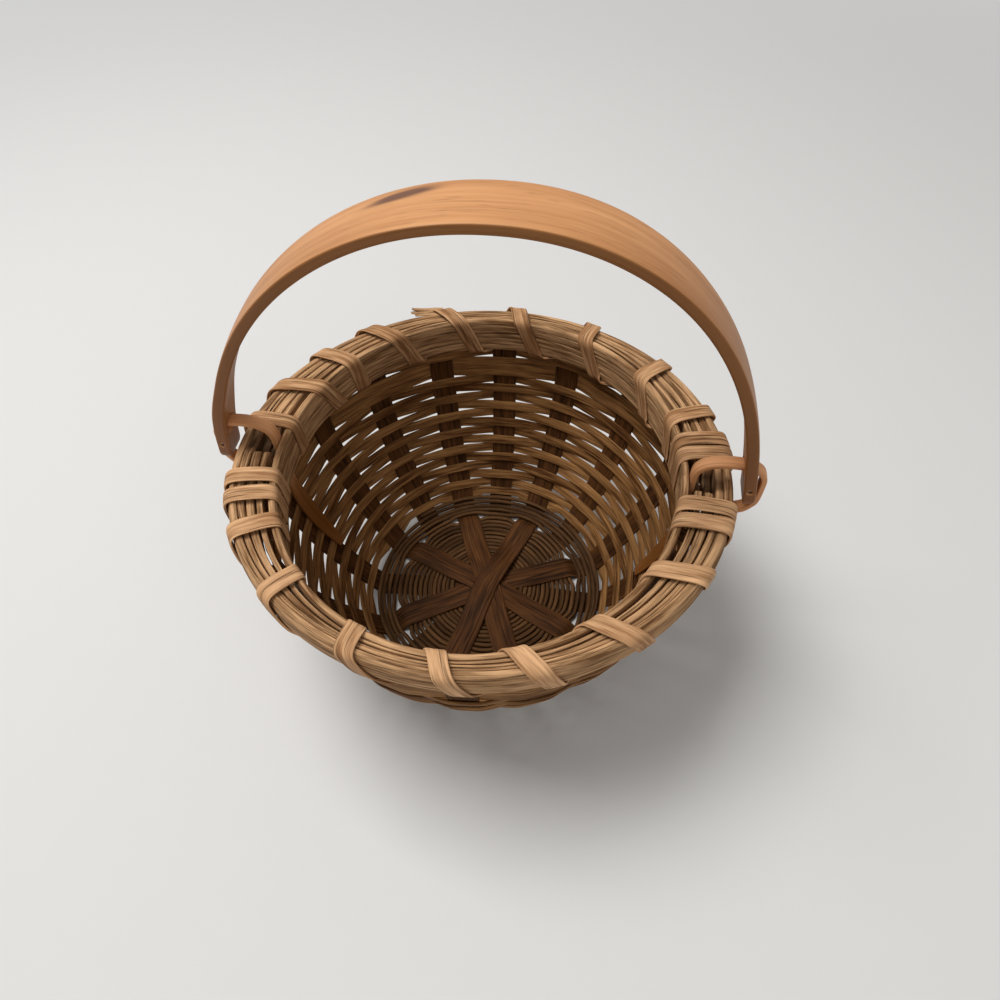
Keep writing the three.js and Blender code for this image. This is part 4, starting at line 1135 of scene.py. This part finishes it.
class Finish:
    """A material or a world, while its nodes are wired."""

    def __init__(self, owner):
        self.owner = owner
        owner.use_nodes = True
        self.tree = owner.node_tree
        self.tree.nodes.clear()

    def add(self, kind, settings=None, sockets=None, result=None):
        """Adds a node, sets it up and gives its sockets values or links. Returns one result as a wire."""
        node = self.tree.nodes.new(kind)
        for key, value in (settings or {}).items():
            setattr(node, key, value)
        for key, value in (sockets or {}).items():
            if isinstance(value, Wire):
                self.tree.links.new(value.socket, node.inputs[key])
            else:
                node.inputs[key].default_value = value
        return node if result is None else Wire(self, node.outputs[result])

    def finish(self, kind, shader):
        """Wires the shader to the output of the material or the world."""
        self.add(f"ShaderNodeOutput{kind}", None, {0: shader})
        return self.owner

    def strip(self):
        """Metres along and round a strip."""
        mapped = self.add("ShaderNodeUVMap", {"uv_map": "strip"}, None, "UV")
        parts = self.add("ShaderNodeSeparateXYZ", None, {0: mapped})
        return Wire(self, parts.outputs[0]), Wire(self, parts.outputs[1])

    def mark(self, name):
        """A value kept at the piece's points."""
        return self.add("ShaderNodeAttribute", {"attribute_name": name}, None, "Fac")

    def noise(self, x, y, z=0.0, detail=2.0, roughness=0.5):
        """Even noise from 0 to 1 at a place made of these three values."""
        place = self.add("ShaderNodeCombineXYZ", None, {0: x, 1: y, 2: z}, 0)
        sockets = {"Vector": place, "Scale": 1.0, "Detail": detail, "Roughness": roughness}
        return self.add("ShaderNodeTexNoise", None, sockets, 0)

    def background_seen(self):
        """1 for rays on which the background shows, 0 for those that light the object."""
        rays = self.add("ShaderNodeLightPath")
        camera, glossy, through = (Wire(self, rays.outputs[f"Is {kind} Ray"])
                                   for kind in ("Camera", "Glossy", "Transmission"))
        return camera.math("MAXIMUM", camera, glossy.math("MAXIMUM", glossy, through))

    def mix(self, share, first, second):
        """Two colours mixed by a share."""
        return self.add("ShaderNodeMix", {"data_type": "RGBA"}, {0: share, 6: first, 7: second}, 2)

    def surface(self, colour, roughness, height, depth, specular):
        """The surface's shader, with its relief as a bump of that depth."""
        bump = self.add("ShaderNodeBump", None, {"Strength": 1.0, "Distance": depth, "Height": height}, 0)
        sockets = {"Base Color": colour, "Roughness": roughness, "Normal": bump,
                   "Specular IOR Level": specular}
        return self.add("ShaderNodeBsdfPrincipled", None, sockets, 0)


def rgba(colour):
    """A colour with full cover."""
    return (*colour, 1.0)


def splint_wood(kind, colours, contrast, roughness):
    """Split wood: long fibres along the strip, pale lines of painted glint and dark lines that come and go,
    and splits, whose mark also paints shade in the fillers' dips under the ears.

    Noise is scaled in waves per metre along and round the strip.
    """
    light, dark = getattr(colours, f"{kind}_light"), getattr(colours, f"{kind}_dark")
    f = Finish(bpy.data.materials.new(f"{kind.capitalize()} wood"))
    u, v = f.strip()
    broad = f.noise(u * 24.0, v * 190.0)
    fibre = f.noise(u * 45.0, v * 620.0, 3.0, 3.0, 0.55)
    fine = f.noise(u * 120.0, v * 2300.0, 7.0)
    line = f.noise(u * 30.0, v * 820.0, 11.0).between(0.58, 0.70)
    # Painted glints: pale streaks along the fibres
    pale = f.noise(u * 26.0, v * 760.0, 19.0).between(0.58, 0.72)
    age, tone, opened = f.mark("age"), f.mark("tone"), f.mark("split")
    grain = (fibre - 0.5) * 2.2 + (broad - 0.5) * 1.7 + (fine - 0.5) * 0.9
    share = 0.5 + contrast * grain + tone * 0.3 - age * 0.12
    colour = f.mix(share.kept(), rgba(dark), rgba(light))
    # Painted glints mixed towards a brighter copy of the light colour
    colour = f.mix(pale * 0.45, colour, rgba([min(1.0, 1.5 * c + 0.02) for c in light]))
    # Dark lines and the mark of cracks go towards the dark colour; in the fillers' dips under the ears that
    # mark is painted shade
    colour = f.mix((line * 0.6 + opened.between(0.25, 0.8) * 0.75).kept(), colour, rgba(colours.split))
    height = fibre * 0.6 + fine * 0.25 + broad * 0.3 + pale * 0.3 - line * 0.7
    rough = (roughness + (fine - 0.5) * 0.2 + line * 0.1).kept()
    return f.finish("Material", f.surface(colour, rough, height, depth=0.00035, specular=0.1))


def bent_wood(name, light, dark, edge, stain, roughness):
    """Shaved and oiled wood: soft long grain, short dark pores, and stains if marked; where marked, painted
    shade darkens the narrow faces (with some dirt), the bow's legs and the ears' tails.

    Noise is scaled in waves per metre along and round the strip.
    """
    f = Finish(bpy.data.materials.new(name))
    u, v = f.strip()
    grain = f.noise(u * 12.0, v * 300.0, 0.0, 3.0)
    wave = f.noise(u * 9.0, v * 60.0, 2.0)
    fine = f.noise(u * 50.0, v * 1300.0, 5.0)
    pore = f.noise(u * 75.0, v * 1000.0, 9.0, 1.0).between(0.60, 0.72)
    streak = f.noise(u * 7.0, v * 420.0, 13.0).between(0.61, 0.70)
    spot, age = f.mark("stain"), f.mark("age")
    # Painted shade: this and the mix towards the edge colour below darken the bow's legs and the ears' tails
    share = 0.6 + (grain - 0.5) * 1.2 + (wave - 0.5) * 1.1 + (fine - 0.5) * 0.4 - age * 0.35
    colour = f.mix(share.kept(), rgba(dark), rgba(light))
    colour = f.mix((pore * 0.28 + streak * 0.3 + age * 0.32).kept(), colour, rgba(edge))
    # Painted shade, with some dirt: the bow's narrow faces are mixed towards the edge colour
    colour = f.mix((f.mark("edge") * (0.75 + (grain - 0.5) * 0.8)).kept(), colour, rgba(edge))
    colour = f.mix((spot + (wave + grain - 1.0) * 0.8 * spot).between(0.1, 0.8) * 0.85, colour, rgba(stain))
    height = grain * 0.5 + fine * 0.2 - pore * 0.3 - streak * 0.4
    rough = (roughness + (fine - 0.5) * 0.16 + (wave - 0.5) * 0.12).kept()
    return f.finish("Material", f.surface(colour, rough, height, depth=0.00012, specular=0.22))


# The stage

# The backdrop's colour and strength
BACKDROP, BACKDROP_GLOW = (1.0, 1.0, 0.99, 1.0), 0.72
# Half the floor's side, and the distances between which it fades into the backdrop
FLOOR_REACH, FADE_START, FADE_END = 3.0, 0.45, 1.9
# Each lamp's place, size and power, and the height over the middle at which they aim
LAMPS = {"key_lamp": ((-0.55, 0.15, 1.5), 0.8, 22.0), "fill_lamp": ((0.8, -1.0, 1.2), 1.2, 4.5)}
LAMP_AIM = 0.08
# The camera fitted to the photo: place, turn in degrees, lens and sensor in millimetres, and the
# nearest distance that it sees
CAMERA_PLACE = (0.04445, -0.21560, 0.37007)
CAMERA_TURN = (37.71646819, 1.20750562, 7.74127988)
CAMERA_LENS, CAMERA_SENSOR, CAMERA_NEAR = 25.99, 36.0, 0.01


def make_floor(colours):
    """A pale square floor, which fades into the backdrop where the camera sees it far from the basket."""
    mesh = bpy.data.meshes.new("floor")
    corners = [(x * FLOOR_REACH, y * FLOOR_REACH, 0) for x, y in ((-1, -1), (1, -1), (1, 1), (-1, 1))]
    mesh.from_pydata(corners, [], [(0, 1, 2, 3)])
    floor = add_object("floor", mesh)
    f = Finish(bpy.data.materials.new("Floor"))
    place = f.add("ShaderNodeTexCoord", None, None, "Object")
    speck = f.add("ShaderNodeTexNoise", None, {"Vector": place, "Scale": 60.0, "Detail": 2.0}, 0)
    colour = f.mix(speck * 0.05, rgba(colours.floor), (0.5, 0.5, 0.5, 1.0))
    far = f.add("ShaderNodeVectorMath", {"operation": "LENGTH"}, {0: place}, "Value")
    share = far.between(FADE_START, FADE_END) * f.background_seen()
    near = f.surface(colour, 0.85, speck, depth=0.00005, specular=0.2)
    glow = f.add("ShaderNodeEmission", None, {"Color": BACKDROP, "Strength": BACKDROP_GLOW}, 0)
    f.finish("Material", f.add("ShaderNodeMixShader", None, {0: share, 1: near, 2: glow}, 0))
    mesh.materials.append(f.owner)


def make_sky():
    """A plain sky that lights softly, and shows as the backdrop."""
    f = Finish(bpy.data.worlds.new("Sky"))
    light = f.add("ShaderNodeBackground", None, {"Color": (1.0, 0.98, 0.96, 1.0), "Strength": 0.3}, 0)
    shown = f.add("ShaderNodeBackground", None, {"Color": BACKDROP, "Strength": BACKDROP_GLOW}, 0)
    f.finish("World", f.add("ShaderNodeMixShader", None, {0: f.background_seen(), 1: light, 2: shown}, 0))
    bpy.context.scene.world = f.owner


def make_stage(colours):
    """The floor, two soft lamps, the sky and the camera at the photo's viewpoint."""
    make_floor(colours)
    for name, (place, size, power) in LAMPS.items():
        data = bpy.data.lights.new(name, "AREA")
        data.size, data.energy = size, power
        lamp = add_object(name, data)
        lamp.location = place
        x, y, z = place
        lamp.rotation_euler = (math.atan2(math.hypot(x, y), z - LAMP_AIM), 0, math.atan2(x, -y))
    make_sky()
    lens = bpy.data.cameras.new("camera")
    lens.lens, lens.sensor_width, lens.clip_start = CAMERA_LENS, CAMERA_SENSOR, CAMERA_NEAR
    camera = add_object("camera", lens)
    camera.location = CAMERA_PLACE
    camera.rotation_euler = Euler([math.radians(a) for a in CAMERA_TURN], "XYZ")
    scene = bpy.context.scene
    scene.camera = camera
    scene.view_settings.view_transform = "Standard"


# Operators and panel

class BASKET_OT_spokes(bpy.types.Operator):
    """Adds the eight spokes that become the stakes"""
    bl_idname = "basket.spokes"
    bl_label = "Spokes"

    def execute(self, context):
        make_spokes(Body(context.scene.basket_sizes), context.scene.wood_colours)
        return {"FINISHED"}


class BASKET_OT_reed(bpy.types.Operator):
    """Adds the round reed of the base"""
    bl_idname = "basket.reed"
    bl_label = "Base reed"

    def execute(self, context):
        make_reed(Body(context.scene.basket_sizes), context.scene.wood_colours)
        return {"FINISHED"}


class BASKET_OT_weavers(bpy.types.Operator):
    """Adds the sixteen woven rows"""
    bl_idname = "basket.weavers"
    bl_label = "Weavers"

    def execute(self, context):
        make_weavers(Body(context.scene.basket_sizes), context.scene.wood_colours)
        return {"FINISHED"}


class BASKET_OT_hoops(bpy.types.Operator):
    """Adds the two hoops of the rim, the fillers between them and a filler's frayed end"""
    bl_idname = "basket.hoops"
    bl_label = "Hoops and fillers"

    def execute(self, context):
        scene = context.scene
        make_hoops(Body(scene.basket_sizes), scene.rim_sizes, scene.wood_colours)
        return {"FINISHED"}


class BASKET_OT_lashings(bpy.types.Operator):
    """Adds the two lashings of the rim"""
    bl_idname = "basket.lashings"
    bl_label = "Lashings"

    def execute(self, context):
        scene = context.scene
        make_lashings(Body(scene.basket_sizes), scene.rim_sizes, scene.wood_colours)
        return {"FINISHED"}


class BASKET_OT_ears(bpy.types.Operator):
    """Adds the two ears that carry the bow"""
    bl_idname = "basket.ears"
    bl_label = "Ears"

    def execute(self, context):
        scene = context.scene
        make_ears(Body(scene.basket_sizes), scene.rim_sizes, scene.handle_sizes, scene.wood_colours)
        return {"FINISHED"}


class BASKET_OT_bow(bpy.types.Operator):
    """Adds the bored bow"""
    bl_idname = "basket.bow"
    bl_label = "Bow"

    def execute(self, context):
        make_bow(context.scene.handle_sizes, context.scene.wood_colours)
        return {"FINISHED"}


class BASKET_OT_pegs(bpy.types.Operator):
    """Adds the peg across each leg of the bow"""
    bl_idname = "basket.pegs"
    bl_label = "Pegs"

    def execute(self, context):
        make_pegs(context.scene.handle_sizes, context.scene.wood_colours)
        return {"FINISHED"}


class BASKET_OT_stage(bpy.types.Operator):
    """Adds the floor, the lamps, the sky and the camera"""
    bl_idname = "basket.stage"
    bl_label = "Stage"

    def execute(self, context):
        make_stage(context.scene.wood_colours)
        return {"FINISHED"}


STEPS = (BASKET_OT_spokes, BASKET_OT_reed, BASKET_OT_weavers, BASKET_OT_hoops, BASKET_OT_lashings,
         BASKET_OT_ears, BASKET_OT_bow, BASKET_OT_pegs, BASKET_OT_stage)


class BASKET_PT_panel(bpy.types.Panel):
    """Sizes, colours and steps of the basket"""
    bl_idname = "BASKET_PT_panel"
    bl_label = "Splint basket"
    bl_space_type = "VIEW_3D"
    bl_region_type = "UI"
    bl_category = "Basket"

    def draw(self, context):
        scene = context.scene
        for step in STEPS:
            self.layout.operator(step.bl_idname)
        for group in (scene.basket_sizes, scene.rim_sizes, scene.handle_sizes, scene.wood_colours):
            column = self.layout.column()
            for name in group.bl_rna.properties.keys():
                if name not in ("rna_type", "name"):
                    column.prop(group, name)


GROUPS = {"basket_sizes": BasketSizes, "rim_sizes": RimSizes, "handle_sizes": HandleSizes,
          "wood_colours": WoodColours}


def register():
    """Makes the classes and the scene's settings known."""
    for kind in (*GROUPS.values(), *STEPS, BASKET_PT_panel):
        bpy.utils.register_class(kind)
    for name, group in GROUPS.items():
        setattr(bpy.types.Scene, name, bpy.props.PointerProperty(type=group))


def unregister():
    """Takes them away again."""
    for name in GROUPS:
        delattr(bpy.types.Scene, name)
    for kind in reversed((*GROUPS.values(), *STEPS, BASKET_PT_panel)):
        bpy.utils.unregister_class(kind)


def main():
    """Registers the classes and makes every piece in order."""
    register()
    bpy.ops.basket.spokes()
    bpy.ops.basket.reed()
    bpy.ops.basket.weavers()
    bpy.ops.basket.hoops()
    bpy.ops.basket.lashings()
    bpy.ops.basket.ears()
    bpy.ops.basket.bow()
    bpy.ops.basket.pegs()
    bpy.ops.basket.stage()


if __name__ == "__main__":
    main()
